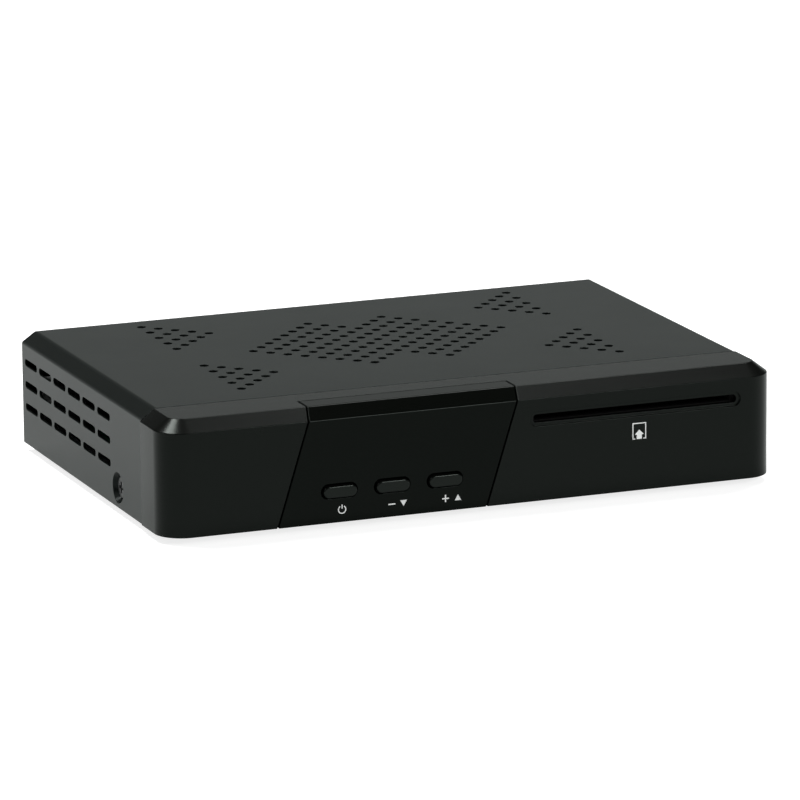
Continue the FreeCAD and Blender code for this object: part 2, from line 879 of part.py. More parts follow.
def stadium_punch(name, x, z, length, opening, depth):
    """A punch with half-round ends that goes in from the front face."""
    body = new_body(name)
    outline = new_sketch(body, "front", (0, 0), front - depth)
    stadium(outline, x, z, length, opening)
    pad(body, outline, depth * 2, reverse=True)
    return body


def make_front_bezel():
    outside = bezel_form("bezel_outside", 0, floor, top, seam)
    rim = new_sketch(outside, "front", (0, 0), seam)
    polygon(rim, roof_corners(cover_line(s.steel + s.rim_gap), tray_top))
    pad(outside, rim, s.rim_length, reverse=True)
    rim_rear = seam + s.rim_length
    wall = s.bezel_wall
    inside = bezel_form("bezel_inside", wall, floor + wall, top - wall, rim_rear + wall)
    shell = cut("bezel_shell", outside, [inside])
    screw_hole = s.small_screw_radius + s.screw_clearance
    bosses = []
    punches = []
    for index, (x, z) in enumerate(front_board_bosses()):
        depth = front_board_front - panel_back
        bosses.append(rod(f"bezel_boss_{index}", x, panel_back, z, s.boss_radius, depth, "y"))
        punches.append(rod(f"bezel_pilot_{index}", x, panel_back, z, screw_hole, depth, "y"))
    for side in (-1, 1):
        x, y = bezel_screw_x * side, seam + s.rim_length / 2
        bosses.append(rod(f"rim_boss_{(side + 1) // 2}", x, y, tray_top, s.bezel_screw_boss_radius,
                          s.bezel_screw_boss_height, "z"))
        punches.append(rod(f"rim_pilot_{(side + 1) // 2}", x, y, tray_top, screw_hole,
                           s.small_screw_length - s.steel + s.screw_clearance, "z"))
    for index, x in enumerate(button_places()):
        punches.append(stadium_punch(f"button_punch_{index}", x, floor + s.button_height_up,
                                     s.button_length + s.button_gap * 2,
                                     s.button_opening + s.button_gap * 2, wall))
    punches.append(block("display_punch", s.display_x, front, top - s.display_from_top - s.window_gap,
                         s.display_width + s.window_gap * 2, wall,
                         s.display_height + s.window_gap * 2))
    for name, x, radius in (("receiver", s.receiver_x, s.receiver_lens_radius),
                            ("lamp", s.lamp_x, s.lamp_rim_radius)):
        punches.append(rod(name + "_punch", x, front, top - s.sensor_from_top,
                           radius + s.window_gap, wall, "y"))
    punches.append(stadium_punch("slot_recess_punch", slot_x, slot_z, s.slot_recess_length,
                                 s.slot_recess_opening, s.slot_recess_depth))
    punches.append(stadium_punch("slot_punch", slot_x, slot_z, s.slot_length, s.slot_opening, wall))
    punches.append(panel_form("panel_seat", s.panel_gap, s.panel_thickness))
    keep("front_bezel", cut("front_bezel_punched", join("bezel_with_bosses", [shell] + bosses), punches))


# Push buttons and their switches

def make_button(name, x):
    z = floor + s.button_height_up
    flange_front = panel_back + s.button_rest_gap
    switch_front = front_board_front - s.switch_depth
    plunger_front = switch_front - s.plunger_proud
    body = new_body(name + "_cap")
    face = new_sketch(body, "front", (0, 0), front - s.button_proud)
    stadium(face, x, z, s.button_length, s.button_opening)
    key = pad(body, face, flange_front - front + s.button_proud, reverse=True)
    rim = edges_where(key.Shape, lambda px, py, pz: near(py, front - s.button_proud))
    softened = body.newObject("PartDesign::Fillet", name + "_rim")
    softened.Base = (key, rim)
    bind(softened, "Radius", s.button_edge)
    doc.recompute()
    flange = new_sketch(body, "front", (0, 0), flange_front)
    margin = s.button_flange_margin * 2
    stadium(flange, x, z, s.button_length + margin, s.button_opening + margin)
    pad(body, flange, s.button_flange_thickness, reverse=True)
    stem = new_sketch(body, "front", (0, 0), flange_front)
    circle(stem, x, z, s.plunger_radius)
    pad(body, stem, plunger_front - flange_front, reverse=True)
    keep(name + "_button", body)
    plunger = rod(name + "_plunger", x, plunger_front, z, s.plunger_radius,
                  s.plunger_proud + s.plunger_engaged, "y")
    keep(name + "_switch_plunger", plunger)
    case = block(name + "_case", x, switch_front, z - s.switch_size / 2,
                 s.switch_size, s.switch_depth, s.switch_size)
    bore = rod(name + "_bore", x, switch_front - s.plunger_gap, z, s.plunger_radius + s.plunger_gap,
               s.plunger_engaged + s.button_travel + s.plunger_gap * 3, "y")
    keep(name + "_switch", cut(name + "_bored", case, [bore]))


# Front circuit board and what it carries

def small_screw(name, x, y, z, along, length):
    """A small pan head screw whose head starts at the point and whose shank runs on from it."""
    head = s.small_screw_head_height
    if along == "z":
        cap = rod(name + "_head", x, y, z - head, s.small_screw_head_radius, head, "z")
        shank = rod(name + "_shank", x, y, z, s.small_screw_radius, length, "z")
    elif along == "-z":
        cap = rod(name + "_head", x, y, z, s.small_screw_head_radius, head, "z")
        shank = rod(name + "_shank", x, y, z - length, s.small_screw_radius, length, "z")
    else:
        cap = rod(name + "_head", x, y, z, s.small_screw_head_radius, head, "y")
        shank = rod(name + "_shank", x, y - length, z, s.small_screw_radius, length, "y")
    return join(name, [cap, shank])


def make_front_board():
    left, right = s.front_board_left_x, s.front_board_right_x
    plate = block("front_board_plate", (left + right) / 2, front_board_front, floor + s.front_board_low,
                  right - left, s.board_thickness,
                  s.case_height - s.front_board_from_top - s.front_board_low)
    holes = []
    screws = []
    for index, (x, z) in enumerate(front_board_bosses()):
        hole = s.small_screw_radius + s.screw_clearance
        holes.append(rod(f"front_board_hole_{index}", x, front_board_front - OVERCUT, z, hole,
                         s.board_thickness + OVERCUT * 2, "y"))
        screws.append(small_screw(f"front_board_screw_{index}", x, front_board_back, z, "-y",
                                  s.small_screw_length))
    keep("front_board", cut("front_board_drilled", plate, holes))
    keep("front_board_screws", group("front_board_screw_set", screws))


DIGITS = 4


def make_channel_display():
    z = top - s.display_from_top
    y = front_board_front - s.display_depth
    case = block("display_case", s.display_x, y, z, s.display_width, s.display_depth, s.display_height)
    digits = []
    pitch = s.display_width / DIGITS
    for index in range(DIGITS):
        x = s.display_x + pitch * (index - (DIGITS - 1) / 2)
        low = z + (s.display_height - s.digit_height) / 2
        digits.append(block(f"digit_{index}", x, y - s.digit_recess, low,
                            s.digit_width, s.digit_recess * 2, s.digit_height))
    keep("channel_display", cut("display_faced", case, digits))


def make_sensors():
    z = top - s.sensor_from_top
    y = front_board_front - s.receiver_depth
    case = block("receiver_case", s.receiver_x, y, z - s.receiver_height / 2,
                 s.receiver_width, s.receiver_depth, s.receiver_height)
    radius = s.receiver_lens_radius
    crown_back = radius / 2
    lens_length = s.receiver_lens_depth - crown_back
    lens = rod("receiver_lens", s.receiver_x, y - lens_length, z, radius, lens_length, "y")
    crown = ball("receiver_crown", s.receiver_x, y - lens_length + crown_back, z,
                 root(radius * radius + crown_back * crown_back))
    trim = rod("receiver_crown_stop", s.receiver_x, y - s.receiver_depth, z, s.receiver_lens_radius,
               s.receiver_depth * 2, "y")
    dome = doc.addObject("Part::Common", "receiver_dome")
    dome.Base = crown
    dome.Tool = trim
    keep("infrared_receiver", join("infrared_receiver_whole", [case, lens, dome]))
    lamp_front = front_board_front - s.lamp_depth
    stalk = rod("lamp_stalk", s.lamp_x, lamp_front, z, s.lamp_radius, s.lamp_depth, "y")
    rim = rod("lamp_rim", s.lamp_x, front_board_front - s.lamp_rim_depth, z, s.lamp_rim_radius,
              s.lamp_rim_depth, "y")
    tip = ball("lamp_tip", s.lamp_x, lamp_front, z, s.lamp_radius)
    keep("standby_lamp", join("standby_lamp_whole", [stalk, rim, tip]))


# Flat cable from the front board to the main board

def make_front_cable():
    thick = s.cable_thickness
    middle_z = floor + s.cable_height_up
    header_back = front_board_back + s.header_height
    header = block("front_header_block", s.cable_x, front_board_back, middle_z - s.header_depth / 2,
                   s.header_width, s.header_height, s.header_depth)
    slit = block("front_header_slit", s.cable_x, header_back - s.cable_seat_depth, middle_z - thick / 2,
                 s.cable_width, s.cable_seat_depth + thick, thick)
    keep("front_board_header", cut("front_board_header_slit", header, [slit]))
    header_top = board_top + s.header_height
    lower = block("main_header_block", s.cable_x, front + s.cable_from_front - s.header_depth / 2, board_top,
                  s.header_width, s.header_depth, s.header_height)
    lower_slit = block("main_header_slit", s.cable_x, front + s.cable_from_front - thick / 2,
                       header_top - s.cable_seat_depth, s.cable_width, thick, s.cable_seat_depth + thick)
    keep("main_board_header", cut("main_board_header_slit", lower, [lower_slit]))
    body = new_body("front_cable")
    bend = new_sketch(body, "side", (0, 0), s.cable_x - s.cable_width / 2)
    near_y = front + s.cable_from_front - thick / 2
    far_y = front + s.cable_from_front + thick / 2
    start_y = header_back - s.cable_seat_depth
    end_z = header_top - s.cable_seat_depth
    polygon(bend, [
        (start_y, middle_z - thick / 2), (near_y, middle_z - thick / 2), (near_y, end_z),
        (far_y, end_z), (far_y, middle_z + thick / 2), (start_y, middle_z + thick / 2)])
    strip = pad(body, bend, s.cable_width)
    inner = edges_where(strip.Shape, lambda x, y, z: near(y, near_y) and near(z, middle_z - thick / 2))
    curve = body.newObject("PartDesign::Fillet", "cable_inner_bend")
    curve.Base = (strip, inner)
    bind(curve, "Radius", s.cable_bend_radius)
    doc.recompute()
    outer = edges_where(curve.Shape, lambda x, y, z: near(y, far_y) and near(z, middle_z + thick / 2))
    outer_curve = body.newObject("PartDesign::Fillet", "cable_outer_bend")
    outer_curve.Base = (curve, outer)
    bind(outer_curve, "Radius", s.cable_bend_radius + thick)
    doc.recompute()
    keep("front_board_cable", body)


# Main circuit board, its supports and its parts

def board_screw_places():
    left = s.left_post_from_side - half_width
    return [(left, front + s.left_front_post_from_front), (left, rear - s.left_rear_post_from_rear),
            (socket_x["digital_video"], rear - s.right_rear_post_from_rear)]


def reader_post_places(y):
    return [(slot_x - s.reader_half_pitch, y), (slot_x + s.reader_half_pitch, y)]


reader_board_top = slot_z - s.card_channel_opening / 2 - s.reader_base_thickness
reader_board_low = reader_board_top - s.board_thickness


def make_main_board():
    board_front = front + s.main_board_from_front
    plate = block("main_board_plate", 0, board_front, board_low,
                  main_board_half * 2, main_board_rear - board_front, s.board_thickness)
    hole = s.small_screw_radius + s.screw_clearance
    places = board_screw_places() + reader_post_places(front + s.reader_rear_post_from_front)
    holes = []
    pillars = []
    for index, (x, y) in enumerate(places):
        holes.append(rod(f"main_board_hole_{index}", x, y, board_low - OVERCUT, hole,
                         s.board_thickness + OVERCUT * 2, "z"))
        pillar = rod(f"standoff_{index}", x, y, tray_top, s.standoff_radius, s.standoff_height, "z")
        bore = rod(f"standoff_bore_{index}", x, y, tray_top + s.steel, hole, s.standoff_height, "z")
        pillars.append(cut(f"standoff_bored_{index}", pillar, [bore]))
    screw_tip = cover_half - s.dish_depth - s.case_screw_length
    notch_depth = main_board_half - screw_tip + s.screw_notch_gap
    for side in (-1, 1):
        holes.append(block(f"main_board_notch_{(side + 1) // 2}", main_board_half * side,
                           dish_y - s.screw_notch_width / 2, board_low - OVERCUT,
                           notch_depth * 2, s.screw_notch_width, s.board_thickness + OVERCUT * 2))
    keep("main_board", cut("main_board_drilled", plate, holes))
    keep("board_standoffs", group("board_standoff_set", pillars))
    length = s.standoff_height - s.steel - s.screw_clearance + s.board_thickness
    screws = [small_screw(f"main_board_screw_{index}", x, y, board_top, "-z", length)
              for index, (x, y) in enumerate(board_screw_places())]
    keep("main_board_screws", group("main_board_screw_set", screws))


def make_processor():
    size = s.processor_size
    chip = block("processor", processor_x, front + s.processor_from_front - size / 2, board_top, size, size,
                 s.processor_height)
    keep("main_processor", chip)
    body = new_body("heatsink")
    base = board_top + s.processor_height
    plate = new_sketch(body, "plan", (processor_x, front + s.processor_from_front), base)
    half = s.heatsink_size / 2
    rectangle(plate, -half, half, -half, half)
    pad(body, plate, s.heatsink_base)
    fin = new_sketch(body, "plan", (processor_x, front + s.processor_from_front), base + s.heatsink_base)
    rectangle(fin, -half, -half + s.heatsink_fin, -half, half)
    first_fin = pad(body, fin, s.heatsink_fin_height)
    fins = body.newObject("PartDesign::LinearPattern", "heatsink_fins")
    fins.Originals = [first_fin]
    fins.Direction = (fin, ["H_Axis"])
    bind(fins, "Length", s.heatsink_fin_pitch * (s.heatsink_fins - 1))
    bind(fins, "Occurrences", s.heatsink_fins)
    body.Tip = fins
    doc.recompute()
    keep("processor_heatsink", body)


MEMORY_CHIPS = 2
INDUCTORS = 3
CAPACITORS = 3


def make_board_parts():
    memory = []
    for index in range(MEMORY_CHIPS):
        y = front + s.memory_from_front + (s.memory_depth + s.memory_gap) * index
        memory.append(block(f"memory_{index}", processor_x + s.memory_from_processor, y, board_top,
                            s.memory_width, s.memory_depth, s.memory_height))
    keep("memory_chips", group("memory_chip_set", memory))
    keep("flash_chip", block("flash", processor_x - s.flash_from_processor,
                             front + s.flash_from_front - s.flash_depth / 2, board_top,
                             s.flash_width, s.flash_depth, s.flash_height))
    coils = []
    for index in range(INDUCTORS):
        x = s.inductor_from_side - half_width + s.inductor_pitch * index
        y = rear - s.inductor_from_rear - s.inductor_size / 2
        coils.append(block(f"inductor_{index}", x, y, board_top, s.inductor_size, s.inductor_size,
                           s.inductor_height))
    keep("power_inductors", group("power_inductor_set", coils))
    cans = []
    for index in range(CAPACITORS):
        x = s.capacitor_from_side - half_width + s.capacitor_pitch * index
        cans.append(rod(f"capacitor_{index}", x, rear - s.capacitor_from_rear, board_top,
                        s.capacitor_radius, s.capacitor_height, "z"))
    keep("smoothing_capacitors", group("smoothing_capacitor_set", cans))
    reach = (s.crystal_length - s.crystal_width) / 2
    crystal_y = front + s.crystal_from_front
    centre_block = block("crystal_middle", processor_x, crystal_y - s.crystal_width / 2, board_top,
                         reach * 2, s.crystal_width, s.crystal_height)
    ends = [rod(f"crystal_end_{side}", processor_x + reach * side, crystal_y, board_top,
                s.crystal_width / 2, s.crystal_height, "z") for side in (-1, 1)]
    keep("clock_crystal", join("clock_crystal_whole", [centre_block] + ends))


# Tuner and the aerial sockets

def aerial_places():
    return [socket_x["tuner"] - s.aerial_pitch / 2, socket_x["tuner"] + s.aerial_pitch / 2]


def make_tuner():
    wall = s.tuner_wall
    tuner_rear = rear_wall_front - s.tuner_wall
    z = board_top + s.aerial_up
    y = tuner_rear - s.tuner_depth
    wide, deep, tall = s.tuner_width, s.tuner_depth, s.tuner_height
    shell = block("tuner_shell", socket_x["tuner"], y, board_top, wide, deep, tall)
    hollow = block("tuner_hollow", socket_x["tuner"], y + wall, board_top + wall, wide - wall * 2,
                   deep - wall * 2, tall)
    fit = s.aerial_thread_radius + s.screw_clearance
    holes = [rod(f"tuner_hole_{index}", x, tuner_rear - wall * 2, z, fit, wall * 4, "y")
             for index, x in enumerate(aerial_places())]
    keep("tuner_can", cut("tuner_can_open", shell, [hollow] + holes))
    gap = s.screw_clearance
    lid = block("tuner_lid_sheet", socket_x["tuner"], y - wall - gap, board_top + tall - s.tuner_lid_skirt,
                wide + wall * 2 + gap * 2, deep + wall + gap, s.tuner_lid_skirt + wall)
    room = block("tuner_lid_room", socket_x["tuner"], y - gap, board_top + tall - s.tuner_lid_skirt * 2,
                 wide + gap * 2, deep * 2, s.tuner_lid_skirt * 2)
    keep("tuner_lid", cut("tuner_lid_formed", lid, [room]))
    board = block("tuner_board_plate", socket_x["tuner"], y + wall + gap, board_top + s.tuner_board_up,
                  wide - wall * 2 - gap * 2, deep - wall * 2 - gap * 2, s.tuner_board_thickness)
    keep("tuner_board", board)
    plugs = []
    inside = wall * 4
    for name, x in zip(("satellite_out", "satellite_in"), aerial_places()):
        barrel = rod(name + "_barrel", x, tuner_rear - inside, z, s.aerial_thread_radius,
                     inside + (rear - tuner_rear) + s.aerial_length, "y")
        collar = rod(name + "_collar", x, tuner_rear, z, s.aerial_collar_radius,
                     rear_wall_back - tuner_rear, "y")
        bore = rod(name + "_bore", x, tuner_rear - inside - OVERCUT, z, s.aerial_bore_radius,
                   s.aerial_length * 3, "y")
        keep(name + "_socket", cut(name + "_bored", join(name + "_turned", [barrel, collar]), [bore]))
        filler = rod(name + "_filler", x, tuner_rear - inside, z, s.aerial_bore_radius,
                     inside + (rear - tuner_rear) + s.aerial_length - s.socket_proud, "y")
        contact = rod(name + "_contact", x, rear, z, s.aerial_contact_radius, s.aerial_length * 2, "y")
        plugs.append(cut(name + "_insulator", filler, [contact]))
    keep("satellite_socket_insulators", group("satellite_socket_insulator_set", plugs))


# Sockets on the rear edge of the main board

def make_digital_video_socket():
    wall = s.digital_video_wall
    y = rear + s.socket_proud - s.digital_video_depth

    def outline(half, low, high, corner):
        return [(-half + corner, low), (half - corner, low), (half, low + corner), (half, high),
                (-half, high), (-half, low + corner)]

    body = new_body("digital_video_shell")
    shell = new_sketch(body, "front", (socket_x["digital_video"], board_top), y)
    polygon(shell, outline(s.digital_video_width / 2, 0, s.digital_video_height, s.digital_video_corner))
    pad(body, shell, s.digital_video_depth, reverse=True)
    mouth = new_sketch(body, "front", (socket_x["digital_video"], board_top), y + wall * 2)
    polygon(mouth, outline(s.digital_video_width / 2 - wall, wall, s.digital_video_height - wall,
                           s.digital_video_corner))
    pocket(body, mouth, s.digital_video_depth)
    keep("digital_video_socket", body)
    tongue = block("digital_video_blade", socket_x["digital_video"], y + wall * 2,
                   board_top + (s.digital_video_height - s.digital_video_tongue_thickness) / 2,
                   s.digital_video_tongue_width, s.digital_video_depth - wall * 2 - s.socket_proud * 2,
                   s.digital_video_tongue_thickness)
    keep("digital_video_tongue", tongue)


PICTURE_PINS = 20


def make_analogue_video_socket():
    wide, tall, corner = s.analogue_video_width, s.analogue_video_height, s.analogue_video_corner
    y = rear + s.socket_proud - s.analogue_video_depth

    def outline(inset, cut_corner):
        half = wide / 2 - inset
        return [(-half, inset), (half, inset), (half, tall - inset),
                (-half + cut_corner, tall - inset), (-half, tall - inset - cut_corner)]

    body = new_body("analogue_video_block")
    block_sketch = new_sketch(body, "front", (socket_x["analogue_video"], board_top), y)
    rectangle(block_sketch, -wide / 2, wide / 2, 0, tall)
    pad(body, block_sketch, s.analogue_video_depth, reverse=True)
    groove = new_sketch(body, "front", (socket_x["analogue_video"], board_top), rear + s.socket_proud)
    polygon(groove, outline(s.analogue_video_wall, corner))
    polygon(groove, outline(s.analogue_video_wall + s.analogue_video_groove,
                            corner - s.analogue_video_groove / 2))
    pocket(body, groove, s.analogue_video_groove_depth, reverse=True)
    slits = new_sketch(body, "front", (socket_x["analogue_video"], board_top), rear + s.socket_proud)
    contacts = []
    for index in range(PICTURE_PINS):
        line = index % 2
        x = s.analogue_video_pin_pitch / 2 * (index - (PICTURE_PINS - 1) / 2)
        z = tall / 2 + s.analogue_video_rows_apart * (0.5 - line)
        half_wide = s.analogue_video_pin_width / 2
        half_tall = s.analogue_video_pin_height / 2
        rectangle(slits, x - half_wide, x + half_wide, z - half_tall, z + half_tall)
        blade = half_wide * 2 - s.screw_clearance * 4
        contacts.append(block(f"analogue_video_contact_{index}", socket_x["analogue_video"] + x,
                              rear + s.socket_proud - s.analogue_video_groove_depth,
                              board_top + z - half_tall, blade, s.analogue_video_pin_length,
                              s.analogue_video_pin_height / 3))
    pocket(body, slits, s.analogue_video_groove_depth, reverse=True)
    keep("analogue_video_socket", body)
    keep("analogue_video_contacts", group("analogue_video_contact_set", contacts))


def make_data_socket():
    wall = s.data_wall
    y = rear + s.socket_proud - s.data_depth
    shell = block("data_shell", socket_x["data"], y, board_top, s.data_width, s.data_depth, s.data_height)
    mouth = block("data_mouth", socket_x["data"], y + wall * 2, board_top + wall, s.data_width - wall * 2,
                  s.data_depth, s.data_height - wall * 2)
    keep("data_socket", cut("data_socket_open", shell, [mouth]))
    tongue = block("data_blade", socket_x["data"], y + wall * 2,
                   board_top + s.data_height - wall * 2 - s.data_tongue_thickness,
                   s.data_tongue_width, s.data_depth - wall * 2 - s.socket_proud * 2,
                   s.data_tongue_thickness)
    keep("data_tongue", tongue)


def make_audio_socket():
    y = rear_wall_front - s.audio_depth
    z = board_top + s.audio_up
    case = block("audio_case", socket_x["audio"], y, board_top, s.audio_size, s.audio_depth,
                 s.audio_up + s.audio_size / 2)
    plug = rod("audio_insulator", socket_x["audio"], rear_wall_front, z, s.audio_barrel_bore,
               rear - rear_wall_front + s.audio_barrel_length - s.socket_proud, "y")
    bore = rod("audio_bore", socket_x["audio"], rear_wall_front, z, s.audio_insulator_bore,
               s.audio_barrel_length * 2, "y")
    keep("digital_audio_socket", cut("digital_audio_bored", join("audio_whole", [case, plug]), [bore]))
    tube = rod("audio_tube", socket_x["audio"], rear_wall_front, z, s.audio_barrel_radius,
               rear - rear_wall_front + s.audio_barrel_length, "y")
    inside = rod("audio_tube_bore", socket_x["audio"], rear_wall_front - OVERCUT, z, s.audio_barrel_bore,
                 s.audio_barrel_length * 2, "y")
    collar = rod("audio_collar", socket_x["audio"], rear_wall_front, z, s.audio_collar_radius, s.steel, "y")
    keep("digital_audio_barrel", cut("digital_audio_tube", join("audio_turned", [tube, collar]), [inside]))


def make_jack():
    y = rear_wall_front - s.jack_depth
    z = board_top + s.jack_height / 2
    case = block("jack_case", socket_x["jack"], y, board_top, s.jack_width, s.jack_depth, s.jack_height)
    collar = rod("jack_collar", socket_x["jack"], rear_wall_front, z, s.jack_collar_radius,
                 rear - rear_wall_front + s.socket_proud, "y")
    bore = rod("jack_bore", socket_x["jack"], y + s.steel, z, s.jack_bore_radius, s.jack_depth * 2, "y")
    keep("infrared_extension_jack", cut("jack_bored", join("jack_whole", [case, collar]), [bore]))


def make_power_inlet():
    x = socket_x["power"]
    y = rear + s.socket_proud - s.power_depth
    z = board_top + s.power_up
    case = block("power_case", x, y, board_top, s.power_width, s.power_depth, s.power_height)
    bore_start = rear + s.socket_proud - s.power_bore_depth
    bore = rod("power_bore", x, bore_start, z, s.power_bore_radius, s.power_bore_depth * 2, "y")
    keep("power_inlet", cut("power_inlet_bored", case, [bore]))
    keep("power_inlet_pin", rod("power_pin", x, bore_start, z, s.power_pin_radius,
                                s.power_pin_length, "y"))


# Smart card reader

CARD_CONTACT_ROWS = 2
CARD_CONTACTS_IN_ROW = 4


def make_card_reader():
    x = slot_x
    front_y = panel_back + s.reader_front_gap
    depth = front + s.reader_rear_from_front - front_y
    hole = s.small_screw_radius + s.screw_clearance
    front_post_y = front + s.reader_front_post_from_front
    rear_post_y = front + s.reader_rear_post_from_front
    board_front = front_post_y - s.reader_board_margin
    board_rear = rear_post_y + s.reader_board_margin
    plate = block("reader_board_plate", x, board_front, reader_board_low, s.reader_board_half_width * 2,
                  board_rear - board_front, s.board_thickness)
    posts = []
    screws = []
    holes = []
    rows = ((front_post_y, tray_top), (rear_post_y, board_top))
    index = 0
    for y, foot in rows:
        for post_x, post_y in reader_post_places(y):
            pillar = rod(f"reader_post_{index}", post_x, post_y, foot, s.standoff_radius,
                         reader_board_low - foot, "z")
            bore = rod(f"reader_post_bore_{index}", post_x, post_y, reader_board_low - s.standoff_height,
                       hole, s.standoff_height * 2, "z")
            posts.append(cut(f"reader_post_bored_{index}", pillar, [bore]))
            holes.append(rod(f"reader_board_hole_{index}", post_x, post_y, reader_board_low - OVERCUT, hole,
                             s.board_thickness + OVERCUT * 2, "z"))
            screws.append(small_screw(f"reader_screw_{index}", post_x, post_y, reader_board_top, "-z",
                                      s.standoff_height))
            index += 1
    keep("card_reader_board", cut("reader_board_drilled", plate, holes))
    keep("card_reader_posts", group("card_reader_post_set", posts))
    keep("card_reader_screws", group("card_reader_screw_set", screws))
    base = block("reader_base_plate", x, front_y, reader_board_top, s.reader_half_width * 2, depth,
                 s.reader_base_thickness)
    slits = []
    contacts = []
    for line in range(CARD_CONTACT_ROWS):
        for place in range(CARD_CONTACTS_IN_ROW):
            contact_x = x + s.card_contact_pitch * (place - (CARD_CONTACTS_IN_ROW - 1) / 2)
            contact_y = front + s.card_contact_from_front + s.card_contact_rows_apart * line
            wide = s.card_contact_width + s.card_contact_gap * 2
            long = s.card_contact_length + s.card_contact_gap * 2
            slits.append(block(f"reader_slit_{line}_{place}", contact_x, contact_y - s.card_contact_gap,
                               reader_board_top - OVERCUT, wide, long,
                               s.reader_base_thickness + OVERCUT * 2))
            contacts.append(block(f"card_contact_{line}_{place}", contact_x, contact_y, reader_board_top,
                                  s.card_contact_width, s.card_contact_length,
                                  s.reader_base_thickness + s.card_contact_rise))
    keep("card_reader_base", cut("reader_base_slotted", base, slits))
    keep("card_reader_contacts", group("card_reader_contact_set", contacts))
    low = reader_board_top + s.reader_base_thickness
    hood = block("reader_hood", x, front_y, low, s.reader_half_width * 2, depth,
                 s.card_channel_opening + s.reader_roof)
    channel = block("card_channel", x, front_y - OVERCUT, low - OVERCUT, s.card_channel_width,
                    depth - s.reader_roof * 2 + OVERCUT, s.card_channel_opening + OVERCUT)
    keep("card_reader_cover", cut("reader_cover_formed", hood, [channel]))
    header = block("stacking_header_block", x, front + s.stacking_from_front - s.stacking_depth / 2,
                   board_top, s.stacking_width, s.stacking_depth, reader_board_low - board_top)
    keep("card_reader_header", header)


# Feet and the screws that hold the case together

def make_feet():
    pads = []
    foot_x = half_width - s.foot_from_side
    rows = (front + s.front_foot_from_front, rear - s.rear_foot_from_rear)
    for index, (x, y) in enumerate((foot_x * side, y) for side in (-1, 1) for y in rows):
        disc = rod(f"foot_disc_{index}", x, y, 0, s.foot_radius, s.foot_height, "z")
        soft = doc.addObject("Part::Chamfer", f"foot_{index}")
        soft.Base = disc
        doc.recompute()
        low_rim = [number for number, edge in enumerate(disc.Shape.Edges, start=1)
                   if edge.BoundBox.ZMax < NEAR]
        edge_size = number_of(s.foot_edge)
        soft.Edges = [(number, edge_size, edge_size) for number in low_rim]
        pads.append(soft)
    keep("rubber_feet", group("rubber_foot_set", pads))


def make_case_screws():
    """Cross-head screws: one through each side dish and two through the rear lip."""
    screws = []
    head, length = s.case_screw_head_height, s.case_screw_length
    cross_wide, cross_long, cross_deep = s.recess_width, s.recess_length, s.recess_depth
    z = floor + s.dish_height_up
    for side in (-1, 1):
        seat_x = (cover_half - s.dish_depth) * side
        head_x = seat_x if side > 0 else seat_x - head
        shank_x = seat_x - length if side > 0 else seat_x
        name = f"side_screw_{(side + 1) // 2}"
        solid = join(name, [
            rod(name + "_head", head_x, dish_y, z, s.case_screw_head_radius, head, "x"),
            rod(name + "_shank", shank_x, dish_y, z, s.case_screw_radius, length, "x")])
        face_x = seat_x + head * side
        cross = [
            block(name + "_cross_a", face_x, dish_y - cross_long / 2, z - cross_wide / 2,
                  cross_deep * 2, cross_long, cross_wide),
            block(name + "_cross_b", face_x, dish_y - cross_wide / 2, z - cross_long / 2,
                  cross_deep * 2, cross_wide, cross_long)]
        screws.append(cut(name + "_crossed", solid, cross))
    z = rear_screw_z
    for side in (-1, 1):
        x = rear_screw_x * side
        name = f"rear_screw_{(side + 1) // 2}"
        solid = join(name, [
            rod(name + "_head", x, rear, z, s.case_screw_head_radius, head, "y"),
            rod(name + "_shank", x, rear - length, z, s.case_screw_radius, length, "y")])
        cross = [
            block(name + "_cross_a", x, rear + head - cross_deep, z - cross_wide / 2,
                  cross_long, cross_deep * 2, cross_wide),
            block(name + "_cross_b", x, rear + head - cross_deep, z - cross_long / 2,
                  cross_wide, cross_deep * 2, cross_long)]
        screws.append(cut(name + "_crossed", solid, cross))
    keep("cover_screws", group("cover_screw_set", screws))
    bezel_screws = [small_screw(f"bezel_screw_{(side + 1) // 2}", bezel_screw_x * side,
                                seam + s.rim_length / 2, floor, "z", s.small_screw_length)
                    for side in (-1, 1)]
    keep("bezel_screws", group("bezel_screw_set", bezel_screws))


make_top_cover()
make_base_tray()
make_centre_panel()
make_front_bezel()
for button_name, button_x in zip(BUTTON_NAMES, button_places()):
    make_button(button_name, button_x)
make_front_board()
make_channel_display()
make_sensors()
make_front_cable()
make_main_board()
make_processor()
make_board_parts()
make_tuner()
make_digital_video_socket()
make_analogue_video_socket()
make_data_socket()
make_audio_socket()
make_jack()
make_power_inlet()
make_card_reader()
make_feet()
make_case_screws()
doc.recompute()

faults = [item.Name for item in doc.Objects
          if "Invalid" in item.State or "Error" in item.State]
for label, piece in nodes.items():
    if piece.Shape.isNull() or not piece.Shape.isValid() or not piece.Shape.Solids:
        faults.append(label)
if faults:
    raise RuntimeError("These objects failed: " + ", ".join(faults))

os.makedirs("parts", exist_ok=True)
for label, piece in nodes.items():
    piece.Shape.exportStep(f"parts/{label}.step")
print(len(nodes), "pieces written")
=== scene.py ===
# A satellite television receiver of folded steel and moulded plastic, dressed around its CAD frame.
# Metres. +X is right and +Y is back, seen from the front, +Z is up, and the origin is under its feet.
import math

import bmesh
import bpy
import numpy as np
from mathutils import Matrix, Vector


